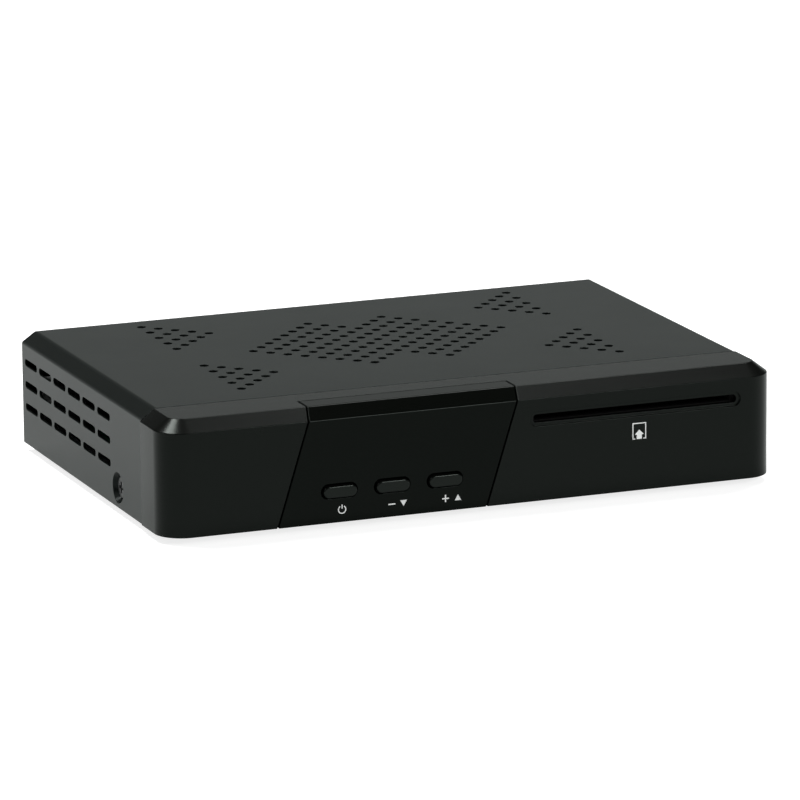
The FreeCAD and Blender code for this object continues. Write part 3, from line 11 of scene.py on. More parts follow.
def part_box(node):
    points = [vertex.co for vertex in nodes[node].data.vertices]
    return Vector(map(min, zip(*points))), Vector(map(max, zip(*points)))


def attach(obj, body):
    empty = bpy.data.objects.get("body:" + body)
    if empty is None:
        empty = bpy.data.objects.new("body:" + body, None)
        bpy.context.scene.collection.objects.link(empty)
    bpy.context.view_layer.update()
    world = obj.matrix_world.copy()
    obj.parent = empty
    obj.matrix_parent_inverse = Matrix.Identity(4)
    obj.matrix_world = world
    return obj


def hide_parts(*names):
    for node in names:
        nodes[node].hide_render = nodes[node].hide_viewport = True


MM = 0.001
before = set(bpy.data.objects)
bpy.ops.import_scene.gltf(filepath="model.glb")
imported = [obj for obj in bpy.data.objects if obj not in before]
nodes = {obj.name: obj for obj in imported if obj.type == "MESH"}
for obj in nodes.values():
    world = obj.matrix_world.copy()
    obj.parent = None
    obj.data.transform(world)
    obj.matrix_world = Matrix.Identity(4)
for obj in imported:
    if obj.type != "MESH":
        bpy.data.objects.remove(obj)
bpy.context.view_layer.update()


# Steel tray and cover paint
# The tray is one sheet of 0.8 mm steel with folded flanges and the rear wall, and the cover is
# a second sheet folded over it. Both are powder coated satin black, which leaves a fine orange
# peel, and the tray is screwed to the front and the cover.

def add(tree, kind, sockets=None, **properties):
    """Add a node, set its properties and give each named input a value or a link."""
    made = tree.nodes.new(kind)
    for name, value in properties.items():
        setattr(made, name, value)
    for name, value in (sockets or {}).items():
        if isinstance(value, bpy.types.NodeSocket):
            tree.links.new(value, made.inputs[name])
        else:
            made.inputs[name].default_value = value
    return made


def new_group(name, inputs, outputs):
    """An empty shader node group with its named sockets, and its two end nodes."""
    group = bpy.data.node_groups.new(name, "ShaderNodeTree")
    for title, kind, value in inputs:
        socket = group.interface.new_socket(title, in_out="INPUT", socket_type=kind)
        socket.default_value = value
    for title, kind in outputs:
        group.interface.new_socket(title, in_out="OUTPUT", socket_type=kind)
    return group, group.nodes.new("NodeGroupInput"), group.nodes.new("NodeGroupOutput")


FLOAT = "NodeSocketFloat"
COLOUR = "NodeSocketColor"
DUST_GREY = (0.34, 0.33, 0.31, 1)
DUST_SPECKS = 900
DUST_FACING = 0.6


def make_handled_surface():
    """Colour and roughness that drift in soft patches, with dust lying on what faces up."""
    group, given, result = new_group(
        "handled_surface",
        [("Colour", COLOUR, (0.5, 0.5, 0.5, 1)), ("Drift", FLOAT, 0.1), ("Patches", FLOAT, 60),
         ("Roughness", FLOAT, 0.4), ("Smudge", FLOAT, 0.1), ("Dust", FLOAT, 0.02)],
        [("Colour", COLOUR), ("Roughness", FLOAT)])
    place = add(group, "ShaderNodeTexCoord").outputs["Object"]
    patches = add(group, "ShaderNodeTexNoise", {
        "Vector": place, "Scale": given.outputs["Patches"], "Detail": 4, "Roughness": 0.6})
    centred = add(group, "ShaderNodeMath", {0: patches.outputs["Fac"], 1: 0.5}, operation="SUBTRACT")
    swing = add(group, "ShaderNodeMath", {0: centred.outputs[0], 1: given.outputs["Drift"]},
                operation="MULTIPLY")
    gain = add(group, "ShaderNodeMath", {0: swing.outputs[0], 1: 1.0}, operation="ADD")
    toned = add(group, "ShaderNodeVectorMath", {0: given.outputs["Colour"]}, operation="SCALE")
    group.links.new(gain.outputs[0], toned.inputs["Scale"])
    normal = add(group, "ShaderNodeNewGeometry").outputs["Normal"]
    facing = add(group, "ShaderNodeSeparateXYZ", {0: normal})
    upward = add(group, "ShaderNodeMapRange", {
        "Value": facing.outputs["Z"], "From Min": DUST_FACING, "From Max": 1.0})
    specks = add(group, "ShaderNodeTexNoise", {"Vector": place, "Scale": DUST_SPECKS, "Detail": 2})
    lying = add(group, "ShaderNodeMath", {0: upward.outputs[0], 1: specks.outputs["Fac"]},
                operation="MULTIPLY")
    amount = add(group, "ShaderNodeMath", {0: lying.outputs[0], 1: given.outputs["Dust"]},
                 operation="MULTIPLY")
    dusted = add(group, "ShaderNodeMix", {
        "Factor": amount.outputs[0], 6: toned.outputs[0], 7: DUST_GREY}, data_type="RGBA")
    rub = add(group, "ShaderNodeMath", {0: centred.outputs[0], 1: given.outputs["Smudge"]},
              operation="MULTIPLY")
    rough = add(group, "ShaderNodeMath", {0: given.outputs["Roughness"], 1: rub.outputs[0]},
                operation="ADD")
    group.links.new(dusted.outputs[2], result.inputs["Colour"])
    group.links.new(rough.outputs[0], result.inputs["Roughness"])
    return group


def make_grain_height():
    """Height of a fine even grain, such as orange peel or the texture of a mould."""
    group, given, result = new_group(
        "grain_height", [("Scale", FLOAT, 1500), ("Stretch", FLOAT, 1)], [("Height", FLOAT)])
    place = add(group, "ShaderNodeTexCoord").outputs["Object"]
    shape = add(group, "ShaderNodeCombineXYZ", {0: given.outputs["Stretch"], 1: 1, 2: 1})
    pulled = add(group, "ShaderNodeVectorMath", {0: place, 1: shape.outputs[0]}, operation="MULTIPLY")
    grain = add(group, "ShaderNodeTexNoise", {
        "Vector": pulled.outputs[0], "Scale": given.outputs["Scale"], "Detail": 3, "Roughness": 0.55})
    group.links.new(grain.outputs["Fac"], result.inputs["Height"])
    return group


handled_surface = make_handled_surface()
grain_height = make_grain_height()


def finish(name, colour, roughness, drift=0.25, patches=45, smudge=0.08, dust=0.0,
           grain=1500, grain_depth=0.01, stretch=1, **shader):
    """A material whose colour, roughness and fine relief all come from the two groups."""
    material = bpy.data.materials.new(name)
    material.use_nodes = True
    tree = material.node_tree
    surface = tree.nodes["Principled BSDF"]
    worn = add(tree, "ShaderNodeGroup", node_tree=handled_surface)
    for title, value in (("Colour", (*colour, 1)), ("Drift", drift), ("Patches", patches),
                         ("Roughness", roughness), ("Smudge", smudge), ("Dust", dust)):
        worn.inputs[title].default_value = value
    relief = add(tree, "ShaderNodeGroup", node_tree=grain_height)
    relief.inputs["Scale"].default_value = grain
    relief.inputs["Stretch"].default_value = stretch
    bump = add(tree, "ShaderNodeBump", {
        "Height": relief.outputs["Height"], "Strength": 1.0, "Distance": grain_depth * MM})
    tree.links.new(worn.outputs["Colour"], surface.inputs["Base Color"])
    tree.links.new(worn.outputs["Roughness"], surface.inputs["Roughness"])
    tree.links.new(bump.outputs["Normal"], surface.inputs["Normal"])
    for title, value in shader.items():
        surface.inputs[title.replace("_", " ").title().replace("Ior", "IOR")].default_value = value
    return material


def assign(material, *names):
    """Give these CAD nodes one finish."""
    for name in names:
        nodes[name].data.materials.clear()
        nodes[name].data.materials.append(material)


COVER_BLACK = (0.0040, 0.0052, 0.0047)
PAINT_TINT = (0.88, 1.0, 0.97, 1)
cover_paint = finish("cover_paint", COVER_BLACK, 0.30, drift=0.3, smudge=0.05, dust=0.008,
                     grain=1100, grain_depth=0.004, specular_ior_level=0.09,
                     specular_tint=PAINT_TINT)

WELD_DISTANCE = 0.002 * MM
FLAT_ANGLE = math.radians(0.5)
SHARP_ANGLE = math.radians(24)
TRAY_EDGE = 0.12 * MM


def welded_copy(name, node, body="case"):
    """Copy a CAD node, weld its loose triangles and join those that lie in one plane."""
    mesh = nodes[node].data.copy()
    mesh.name = name
    work = bmesh.new()
    work.from_mesh(mesh)
    bmesh.ops.remove_doubles(work, verts=work.verts, dist=WELD_DISTANCE)
    bmesh.ops.dissolve_limit(work, angle_limit=FLAT_ANGLE, verts=work.verts, edges=work.edges)
    for face in work.faces:
        face.smooth = True
    for edge in work.edges:
        edge.smooth = len(edge.link_faces) == 2 and edge.calc_face_angle(math.pi) < SHARP_ANGLE
    work.to_mesh(mesh)
    work.free()
    piece = bpy.data.objects.new(name, mesh)
    bpy.context.scene.collection.objects.link(piece)
    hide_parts(node)
    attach(piece, body)
    return piece


def round_edges(piece, radius, steps=2, weighted=False):
    """Round the sharp edges, or with weights only as far as each edge's own weight."""
    bevel = piece.modifiers.new("edge_radius", "BEVEL")
    bevel.width = radius
    bevel.segments = steps
    bevel.limit_method = "WEIGHT" if weighted else "ANGLE"
    bevel.angle_limit = SHARP_ANGLE
    bevel.use_clamp_overlap = False
    bevel.harden_normals = True


def dress(piece, material):
    """Give a piece its finish."""
    piece.data.materials.clear()
    piece.data.materials.append(material)


tray = welded_copy("base_tray_sheet", "base_tray")
round_edges(tray, TRAY_EDGE)
dress(tray, cover_paint)


# Rubber feet
# Four soft black discs with a chamfered rim, moulded in rubber. They are stuck under the tray with
# their own adhesive and hold the sheet clear of the shelf.

FOOT_BLACK = (0.022, 0.022, 0.022)
FOOT_EDGE = 0.15 * MM
foot_rubber = finish("foot_rubber", FOOT_BLACK, 0.78, drift=0.5, patches=160, smudge=0.15,
                     dust=0.05, grain=2600, grain_depth=0.03, specular_ior_level=0.3)
feet = welded_copy("rubber_feet_moulded", "rubber_feet")
round_edges(feet, FOOT_EDGE)
dress(feet, foot_rubber)


# Circuit boards
# Green lacquered glass laminate, 1.6 mm thick. Copper tracks show through the lacquer as
# paler lines that run square to the edges, and the boards are screwed to posts and bosses.

LACQUER_GREEN = (0.012, 0.085, 0.035)
TRACK_GREEN = (0.05, 0.2, 0.07, 1)
TRACK_PITCH = 1.6 * MM


def make_board_finish():
    """The joints of a pattern of bricks give the tracks, and soft regions hide half of them."""
    material = finish("board_laminate", LACQUER_GREEN, 0.32, drift=0.4, patches=90,
                      grain=2500, grain_depth=0.004, specular_ior_level=0.5)
    tree = material.node_tree
    surface = tree.nodes["Principled BSDF"]
    lacquer = surface.inputs["Base Color"].links[0].from_socket
    place = add(tree, "ShaderNodeTexCoord").outputs["Object"]
    tracks = add(tree, "ShaderNodeTexBrick", {
        "Vector": place, "Scale": 1 / TRACK_PITCH, "Mortar Size": 0.13, "Brick Width": 6.3,
        "Row Height": 0.9, "Color1": (0, 0, 0, 1), "Color2": (0, 0, 0, 1), "Mortar": (1, 1, 1, 1)})
    regions = add(tree, "ShaderNodeTexNoise", {"Vector": place, "Scale": 55})
    dense = add(tree, "ShaderNodeMath", {0: regions.outputs["Fac"], 1: 0.5}, operation="GREATER_THAN")
    shown = add(tree, "ShaderNodeMath", {0: tracks.outputs["Color"], 1: dense.outputs[0]},
                operation="MULTIPLY")
    coppered = add(tree, "ShaderNodeMix", {
        "Factor": shown.outputs[0], 6: lacquer, 7: TRACK_GREEN}, data_type="RGBA")
    tree.links.new(coppered.outputs[2], surface.inputs["Base Color"])
    return material


board_laminate = make_board_finish()
assign(board_laminate, "front_board", "main_board", "card_reader_board", "tuner_board")


# Posts and small screws
# Turned steel posts and pan head screws with a bright zinc plating. The posts stand on the tray's
# floor, and the screws hold the boards and the front.

ZINC_GREY = (0.60, 0.61, 0.62)
bright_zinc = finish("bright_screw_steel", ZINC_GREY, 0.28, drift=0.12, patches=500,
                     smudge=0.2, grain=3000, grain_depth=0.004, metallic=1.0)
assign(bright_zinc, "board_standoffs", "card_reader_posts", "main_board_screws", "front_board_screws",
       "card_reader_screws", "bezel_screws")


# Chips, coils and other parts on the boards
# Moulded black epoxy chips and coils and aluminium cans in dark sleeves, all soldered to the main
# board, and an extruded heatsink glued to the processor.

EPOXY_BLACK = (0.018, 0.018, 0.02)
ALUMINIUM = (0.70, 0.71, 0.72)
SLEEVE_BLUE = (0.012, 0.014, 0.03)
chip_epoxy = finish("chip_epoxy", EPOXY_BLACK, 0.55, drift=0.4, patches=300, grain=4000,
                    grain_depth=0.006)
assign(chip_epoxy, "main_processor", "memory_chips", "flash_chip", "power_inductors")
heatsink_aluminium = finish("heatsink_aluminium", ALUMINIUM, 0.38, drift=0.1, patches=200,
                            smudge=0.15, grain=900, grain_depth=0.01, stretch=8, metallic=1.0)
assign(heatsink_aluminium, "processor_heatsink")
capacitor_sleeve = finish("capacitor_sleeve", SLEEVE_BLUE, 0.22, drift=0.3, patches=150,
                          grain=1200, grain_depth=0.004)
assign(capacitor_sleeve, "smoothing_capacitors")


# Tuner and metal socket shells
# Cans and shells bent from bright tinplate, with the grain of the rolling mill along them. They
# are soldered to the main board, and so is the clock crystal's can.

TIN_GREY = (0.66, 0.67, 0.66)
SHELL_EDGE = 0.08 * MM
tinplate = finish("tinplate", TIN_GREY, 0.26, drift=0.12, patches=120, smudge=0.15,
                  grain=700, grain_depth=0.003, stretch=12, metallic=1.0)
assign(tinplate, "tuner_can", "tuner_lid", "clock_crystal")
for shell_name in ("digital_video_socket", "data_socket"):
    shell = welded_copy(shell_name + "_shell", shell_name)
    round_edges(shell, SHELL_EDGE)
    dress(shell, tinplate)


# Moulded connector bodies
# Black and natural white nylon blocks that hold gold plated contacts, pressed and soldered on the
# boards. The card reader is black plastic, but its colour is made darker and more matt than the
# other black nylon as painted shade, so that the card slot looks black.

NYLON_BLACK = (0.016, 0.016, 0.016)
READER_BLACK_AND_SLOT_SHADE = (0.005, 0.005, 0.005)
NYLON_WHITE = (0.62, 0.60, 0.54)
CONTACT_GOLD = (0.78, 0.56, 0.22)
BODY_EDGE = 0.1 * MM
BUTTON_NAMES = ("power", "channel_down", "channel_up")
black_nylon = finish("black_plastic", NYLON_BLACK, 0.46, drift=0.3, patches=120, smudge=0.1,
                     grain=2200, grain_depth=0.01, specular_ior_level=0.4)
assign(black_nylon, "digital_video_tongue", "digital_audio_socket", "card_reader_header")
for button_name in BUTTON_NAMES:
    assign(black_nylon, button_name + "_switch", button_name + "_switch_plunger")
# Painted shade: the reader's black is darkened past its own colour to stand in for the shade inside the
# card slot.
reader_plastic_and_slot_shade = finish("reader_plastic_and_slot_shade", READER_BLACK_AND_SLOT_SHADE, 0.72, drift=0.3, patches=120,
                        grain=2200, grain_depth=0.01, specular_ior_level=0.08)
assign(reader_plastic_and_slot_shade, "card_reader_base", "card_reader_cover")
for body_name in ("analogue_video_socket", "power_inlet", "infrared_extension_jack"):
    moulded = welded_copy(body_name + "_body", body_name)
    round_edges(moulded, BODY_EDGE)
    dress(moulded, black_nylon)
white_nylon = finish("white_plastic", NYLON_WHITE, 0.42, drift=0.1, patches=140, smudge=0.1,
                     grain=2200, grain_depth=0.006)
assign(white_nylon, "front_board_header", "main_board_header", "satellite_socket_insulators",
       "data_tongue")
contact_gold = finish("contact_gold", CONTACT_GOLD, 0.25, drift=0.12, patches=400, smudge=0.12,
                      grain=3000, grain_depth=0.003, metallic=1.0)
assign(contact_gold, "analogue_video_contacts", "card_reader_contacts")


# Aerial sockets
# Turned brass with a rolled screw of 32 threads per inch, nickel plated. A collar holds each one in
# the tuner's wall, and the cable from the dish screws on one of them. The pin of the power inlet
# and the barrel of the audio socket have the same plating.

SOCKET_NICKEL = (0.66, 0.64, 0.58)
socket_nickel = finish("socket_nickel", SOCKET_NICKEL, 0.2, drift=0.12, patches=300, smudge=0.12,
                       grain=2600, grain_depth=0.003, metallic=1.0)
assign(socket_nickel, "power_inlet_pin", "digital_audio_barrel")
THREAD_PITCH = 25.4 / 32 * MM
THREAD_DEPTH = 0.42 * MM
THREAD_RADIUS = 4.7625 * MM
BORE_RADIUS = 3.4 * MM
TIP_CHAMFER = 0.45 * MM
COLLAR_LENGTH = 2.1 * MM
AROUND = 48
ROWS_PER_THREAD = 8
ROWS_BEFORE_THREAD = 3


def surface_object(name, points, faces):
    """A mesh object at the origin from an array of points and one of faces, facing outwards."""
    mesh = bpy.data.meshes.new(name)
    mesh.from_pydata(points.tolist(), [], [list(map(int, face)) for face in faces])
    work = bmesh.new()
    work.from_mesh(mesh)
    bmesh.ops.recalc_face_normals(work, faces=work.faces)
    work.to_mesh(mesh)
    work.free()
    piece = bpy.data.objects.new(name, mesh)
    bpy.context.scene.collection.objects.link(piece)
    return piece


def turned_socket(name, node):
    """A closed profile carried round the socket's axis.

    The radius at angle a and length y is the profile's radius. On the threaded part it is less by
    the thread depth times a triangle wave of y / pitch - a / full turn.
    """
    low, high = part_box(node)
    axis_x = (low.x + high.x) / 2
    axis_z = (low.z + high.z) / 2
    collar_radius = (high.x - low.x) / 2
    thread_start = low.y + COLLAR_LENGTH * 2
    thread_end = high.y - TIP_CHAMFER
    rows = int((thread_end - thread_start) / THREAD_PITCH * ROWS_PER_THREAD)
    thread_y = np.linspace(thread_start, thread_end, rows)
    radius = np.concatenate([
        [BORE_RADIUS, BORE_RADIUS, THREAD_RADIUS - TIP_CHAMFER],
        np.full(rows, THREAD_RADIUS)[::-1],
        [THREAD_RADIUS - THREAD_DEPTH, collar_radius, collar_radius, THREAD_RADIUS, THREAD_RADIUS]])
    length = np.concatenate([
        [low.y, high.y, high.y], thread_y[::-1],
        [thread_start, thread_start, low.y + COLLAR_LENGTH, low.y + COLLAR_LENGTH, low.y]])
    threaded = np.zeros_like(radius)
    threaded[ROWS_BEFORE_THREAD:ROWS_BEFORE_THREAD + rows] = 1
    angle = np.linspace(0, math.tau, AROUND, endpoint=False)
    phase = length[None, :] / THREAD_PITCH - angle[:, None] / math.tau
    wave = np.abs((phase % 1) * 2 - 1)
    spread = radius[None, :] - threaded[None, :] * THREAD_DEPTH * wave
    points = np.stack([axis_x + spread * np.cos(angle)[:, None],
                       np.broadcast_to(length, spread.shape),
                       axis_z + spread * np.sin(angle)[:, None]], axis=-1).reshape(-1, 3)
    count = len(radius)
    a, b = np.meshgrid(np.arange(AROUND), np.arange(count), indexing="ij")
    next_a = (a + 1) % AROUND
    next_b = (b + 1) % count
    faces = np.stack([a * count + b, next_a * count + b, next_a * count + next_b, a * count + next_b],
                     axis=-1).reshape(-1, 4)
    piece = surface_object(name, points, faces)
    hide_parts(node)
    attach(piece, "case")
    dress(piece, socket_nickel)


turned_socket("satellite_in_thread", "satellite_in_socket")
turned_socket("satellite_out_thread", "satellite_out_socket")


# Flat cable, display, sensor and lamp
# A white film cable with conductors 1 mm apart links the two boards. The display, the dark resin
# receiver and the red lamp are soldered to the front board behind the gloss panel.

FILM_WHITE = (0.62, 0.64, 0.66)
CONDUCTOR_GREY = (0.33, 0.34, 0.36, 1)
CONDUCTOR_PITCH = 1.0 * MM
FILM_FROM = 0.1
DISPLAY_BLACK = (0.02, 0.02, 0.022)
SENSOR_DARK = (0.012, 0.004, 0.008)
LAMP_RED = (0.35, 0.012, 0.01)


def make_cable_film():
    """Stripes across the cable show the tinned conductors in the film."""
    material = finish("cable_film", FILM_WHITE, 0.3, drift=0.05, grain=900, grain_depth=0.003)
    tree = material.node_tree
    surface = tree.nodes["Principled BSDF"]
    film = surface.inputs["Base Color"].links[0].from_socket
    place = add(tree, "ShaderNodeTexCoord").outputs["Object"]
    across = add(tree, "ShaderNodeSeparateXYZ", {0: place})
    turns = add(tree, "ShaderNodeMath", {0: across.outputs["X"], 1: math.tau / CONDUCTOR_PITCH},
                operation="MULTIPLY")
    wave = add(tree, "ShaderNodeMath", {0: turns.outputs[0]}, operation="SINE")
    metal = add(tree, "ShaderNodeMath", {0: wave.outputs[0], 1: FILM_FROM}, operation="GREATER_THAN")
    striped = add(tree, "ShaderNodeMix", {
        "Factor": metal.outputs[0], 6: film, 7: CONDUCTOR_GREY}, data_type="RGBA")
    tree.links.new(striped.outputs[2], surface.inputs["Base Color"])
    return material


assign(make_cable_film(), "front_board_cable")
display_face = finish("display_plastic", DISPLAY_BLACK, 0.2, drift=0.2, grain=1500,
                      grain_depth=0.003)
assign(display_face, "channel_display")
sensor_resin = finish("sensor_resin", SENSOR_DARK, 0.1, drift=0.2, grain=900,
                      grain_depth=0.002)
assign(sensor_resin, "infrared_receiver")
lamp_resin = finish("lamp_resin", LAMP_RED, 0.2, drift=0.15, grain=900, grain_depth=0.003)
assign(lamp_resin, "standby_lamp")


# Moulded front
# One moulding in satin black plastic with rounded corners, a chamfered top edge, the card slot in
# its shallow recess and a rim that slides under the cover.

BEZEL_BLACK = (0.0024, 0.0027, 0.0024)
PLASTIC_TINT = (0.88, 1.0, 0.92, 1)
BEZEL_EDGE = 0.15 * MM
bezel_plastic = finish("bezel_plastic", BEZEL_BLACK, 0.25, drift=0.3, patches=25, smudge=0.04,
                       dust=0.006, grain=2600, grain_depth=0.0035, specular_ior_level=0.10,
                       specular_tint=PLASTIC_TINT)
bezel = welded_copy("front_bezel_moulding", "front_bezel")
round_edges(bezel, BEZEL_EDGE, steps=3)
dress(bezel, bezel_plastic)


# Gloss panel
# A thin smoked panel, polished in the mould, clipped into the front so that a dark line 0.4 mm
# wide runs round it. The display and the sensor look out through it.

PANEL_BLACK = (0.0016, 0.0020, 0.0016)
PANEL_EDGE = 0.22 * MM
panel_gloss = finish("panel_gloss", PANEL_BLACK, 0.10, drift=0.2, patches=20, smudge=0.03,
                     dust=0.002, grain=300, grain_depth=0.0006, specular_ior_level=0.06,
                     specular_tint=PLASTIC_TINT)
panel = welded_copy("centre_panel_moulding", "centre_panel")
round_edges(panel, PANEL_EDGE, steps=3)
dress(panel, panel_gloss)


# Push buttons
# Three long caps in polished black plastic. A flange behind the front keeps each one in, and its
# stem rests on the plunger of its switch.

BUTTON_BLACK = (0.0024, 0.0028, 0.0024)
CAP_EDGE = 0.3 * MM
button_plastic = finish("button_plastic", BUTTON_BLACK, 0.16, drift=0.3, patches=200,
                        smudge=0.06, dust=0.004, grain=1500, grain_depth=0.002,
                        specular_ior_level=0.14, specular_tint=PLASTIC_TINT)
for button_name in BUTTON_NAMES:
    cap = welded_copy(button_name + "_cap", button_name + "_button", button_name + "_key")
    round_edges(cap, CAP_EDGE, steps=4)
    dress(cap, button_plastic)


# Printed marks
# Pale grey ink, screen printed on the front: the standby sign, an arrow and a plain minus or plus
# at the channel buttons, and a card with an arrow under the slot.

INK_THICKNESS = 0.015 * MM
INK_LIFT = 0.004 * MM
INK_GREY = (0.84, 0.85, 0.84)
MARK_Z = 5.32 * MM
print_ink = finish("print_ink", INK_GREY, 0.5, drift=0.12, patches=900, smudge=0.1,
                   grain=5000, grain_depth=0.002)


def ink_layer(name, outlines, y):
    """Closed flat shapes: each outline is carried forwards by the ink's thickness and capped."""
    points = []
    faces = []
    start = 0
    for outline in outlines:
        flat = np.asarray(outline, float)
        count = len(flat)
        for depth in (0, INK_THICKNESS):
            sheet_y = np.full(count, y - INK_LIFT - depth)
            points.append(np.stack([flat[:, 0], sheet_y, flat[:, 1]], axis=1))
        ring = np.arange(count)
        after = (ring + 1) % count
        faces.append(list(start + ring))
        faces.append(list(start + count + ring[::-1]))
        faces.extend(np.stack([start + ring, start + after, start + count + after,
                               start + count + ring], axis=1).tolist())
        start += 2 * count
    piece = surface_object(name, np.concatenate(points), faces)
    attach(piece, "case")
    dress(piece, print_ink)


def stroke(path, width):
    """Outline of a line of one width along a path: each point moved both ways along its normal."""
    path = np.asarray(path, float)
    along = np.gradient(path, axis=0)
    along /= np.linalg.norm(along, axis=1)[:, None]
    normal = np.stack([-along[:, 1], along[:, 0]], axis=1) * width / 2
    return np.concatenate([path + normal, (path - normal)[::-1]])


def bar(x, z, wide, tall):
    """Outline of an upright rectangle about its middle."""
    return np.array([[x - wide / 2, z - tall / 2], [x + wide / 2, z - tall / 2],
                     [x + wide / 2, z + tall / 2], [x - wide / 2, z + tall / 2]])


panel_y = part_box("centre_panel")[0].y
bezel_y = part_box("front_bezel")[0].y

STANDBY_X = -36.85 * MM
STANDBY_RADIUS = 1.0 * MM
STANDBY_LINE = 0.28 * MM
STANDBY_BAR_LIFT = 0.75 * MM
STANDBY_BAR_TALL = 1.1 * MM
STANDBY_POINTS = 40
gap_half_angle = math.radians(32)
sweep = np.linspace(math.pi / 2 + gap_half_angle, math.pi / 2 + math.tau - gap_half_angle,
                    STANDBY_POINTS)
standby_ring = np.stack([STANDBY_X + STANDBY_RADIUS * np.cos(sweep),
                         MARK_Z + STANDBY_RADIUS * np.sin(sweep)], axis=1)
ink_layer("standby_mark", [
    stroke(standby_ring, STANDBY_LINE),
    bar(STANDBY_X, MARK_Z + STANDBY_BAR_LIFT, STANDBY_LINE, STANDBY_BAR_TALL)], panel_y)

ARROW_WIDE = 1.85 * MM
ARROW_TALL = 1.55 * MM
SIGN_LENGTH = 1.9 * MM
SIGN_LINE = 0.34 * MM
DOWN_ARROW_X = -19.97 * MM
UP_ARROW_X = -4.95 * MM
MINUS_X = -23.2 * MM
PLUS_X = -8.4 * MM


def arrow_head(x, z, direction):
    """Outline of a triangle about its middle, with its tip up (1) or down (-1)."""
    return np.array([[x - ARROW_WIDE / 2, z - direction * ARROW_TALL / 2],
                     [x + ARROW_WIDE / 2, z - direction * ARROW_TALL / 2],
                     [x, z + direction * ARROW_TALL / 2]])


half_line = SIGN_LINE / 2
upper_arm_z = MARK_Z + (SIGN_LENGTH / 2 + half_line) / 2
lower_arm_z = MARK_Z - (SIGN_LENGTH / 2 + half_line) / 2
arm_length = SIGN_LENGTH / 2 - half_line
ink_layer("channel_down_mark", [
    arrow_head(DOWN_ARROW_X, MARK_Z, -1),
    bar(MINUS_X, MARK_Z, SIGN_LENGTH, SIGN_LINE)], panel_y)
ink_layer("channel_up_mark", [
    arrow_head(UP_ARROW_X, MARK_Z, 1),
    bar(PLUS_X, MARK_Z, SIGN_LENGTH, SIGN_LINE),
    bar(PLUS_X, upper_arm_z, SIGN_LINE, arm_length),
    bar(PLUS_X, lower_arm_z, SIGN_LINE, arm_length)], panel_y)

CARD_X = 45.9 * MM
CARD_Z = 17.9 * MM
CARD_WIDE = 3.6 * MM
CARD_TALL = 4.1 * MM
CARD_LINE = 0.26 * MM
card_half_wide = CARD_WIDE / 2
card_half_tall = CARD_TALL / 2
arrow_mouth = 1.15 * MM
card_frame = [
    bar(CARD_X, CARD_Z + card_half_tall, CARD_WIDE + CARD_LINE, CARD_LINE),
    bar(CARD_X - card_half_wide, CARD_Z, CARD_LINE, CARD_TALL - CARD_LINE),
    bar(CARD_X + card_half_wide, CARD_Z, CARD_LINE, CARD_TALL - CARD_LINE)]
foot_length = card_half_wide + CARD_LINE / 2 - arrow_mouth
for side in (-1, 1):
    foot_x = CARD_X + side * (card_half_wide + CARD_LINE / 2 - foot_length / 2)
    card_frame.append(bar(foot_x, CARD_Z - card_half_tall, foot_length, CARD_LINE))
tip_z = CARD_Z + 0.35 * MM
shoulder_z = CARD_Z - 0.95 * MM
base_z = CARD_Z - card_half_tall - 0.1 * MM
head_half = 1.3 * MM
shaft_half = 0.72 * MM
card_arrow = np.array([
    [CARD_X, tip_z], [CARD_X - head_half, shoulder_z], [CARD_X - shaft_half, shoulder_z],
    [CARD_X - shaft_half, base_z], [CARD_X + shaft_half, base_z], [CARD_X + shaft_half, shoulder_z],
    [CARD_X + head_half, shoulder_z]])
ink_layer("card_mark", card_frame + [card_arrow], bezel_y)


# Steel cover
# Folded from one sheet, with a chamfer along each side, punched holes and slots, two pressed
# dishes for the side screws and a lip folded down at the rear.

FOLD_RADIUS = 0.75 * MM
CUT_EDGE_RADIUS = 0.1 * MM
LONG_SHARE = 0.9
cover = welded_copy("top_cover_sheet", "top_cover")


def weigh_folds(piece):
    """Bevel weight 1 on the long folds and a small one on the other sharp edges."""
    low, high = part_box("top_cover")
    long_edge = (high.y - low.y) * LONG_SHARE
    mesh = piece.data
    ends = np.empty(len(mesh.edges) * 2, np.int32)
    mesh.edges.foreach_get("vertices", ends)
    points = np.empty(len(mesh.vertices) * 3, np.float32)
    mesh.vertices.foreach_get("co", points)
    pair = points.reshape(-1, 3)[ends.reshape(-1, 2)]
    span = np.abs(pair[:, 0] - pair[:, 1])
    sharp = np.zeros(len(mesh.edges), bool)
    mesh.attributes["sharp_edge"].data.foreach_get("value", sharp)
    above_foot = pair[:, 0, 2] > low.z + FOLD_RADIUS
    fold = sharp & (span[:, 1] > long_edge) & above_foot
    weight = np.where(fold, 1.0, np.where(sharp, CUT_EDGE_RADIUS / FOLD_RADIUS, 0.0))
    layer = mesh.attributes.new("bevel_weight_edge", "FLOAT", "EDGE")
    layer.data.foreach_set("value", weight.astype(np.float32))


weigh_folds(cover)
round_edges(cover, FOLD_RADIUS, steps=3, weighted=True)
dress(cover, cover_paint)


# Cover screws
# Cross head steel screws with a black zinc finish, two in the side dishes and two at the rear.
# They hold the cover to the tray. The two side heads are sunk deeper than the solids have them.

ZINC_BLACK = (0.014, 0.014, 0.015)
screw_steel = finish("screw_steel", ZINC_BLACK, 0.30, drift=0.3, patches=700, smudge=0.2,
                     grain=3000, grain_depth=0.005, metallic=1.0)
HEAD_HEIGHT = 1.5 * MM
HEAD_EDGE = 0.12 * MM
SUNK_SHARE = 0.45
screws = welded_copy("cover_screws_turned", "cover_screws")


def sink_side_heads(piece):
    """Past the head's seat a point keeps SUNK_SHARE of its distance, so the heads lie low."""
    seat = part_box("cover_screws")[1].x - HEAD_HEIGHT
    mesh = piece.data
    points = np.empty(len(mesh.vertices) * 3, np.float32)
    mesh.vertices.foreach_get("co", points)
    points = points.reshape(-1, 3)
    past = np.maximum(np.abs(points[:, 0]) - seat, 0)
    points[:, 0] -= np.sign(points[:, 0]) * past * (1 - SUNK_SHARE)
    mesh.vertices.foreach_set("co", points.ravel())


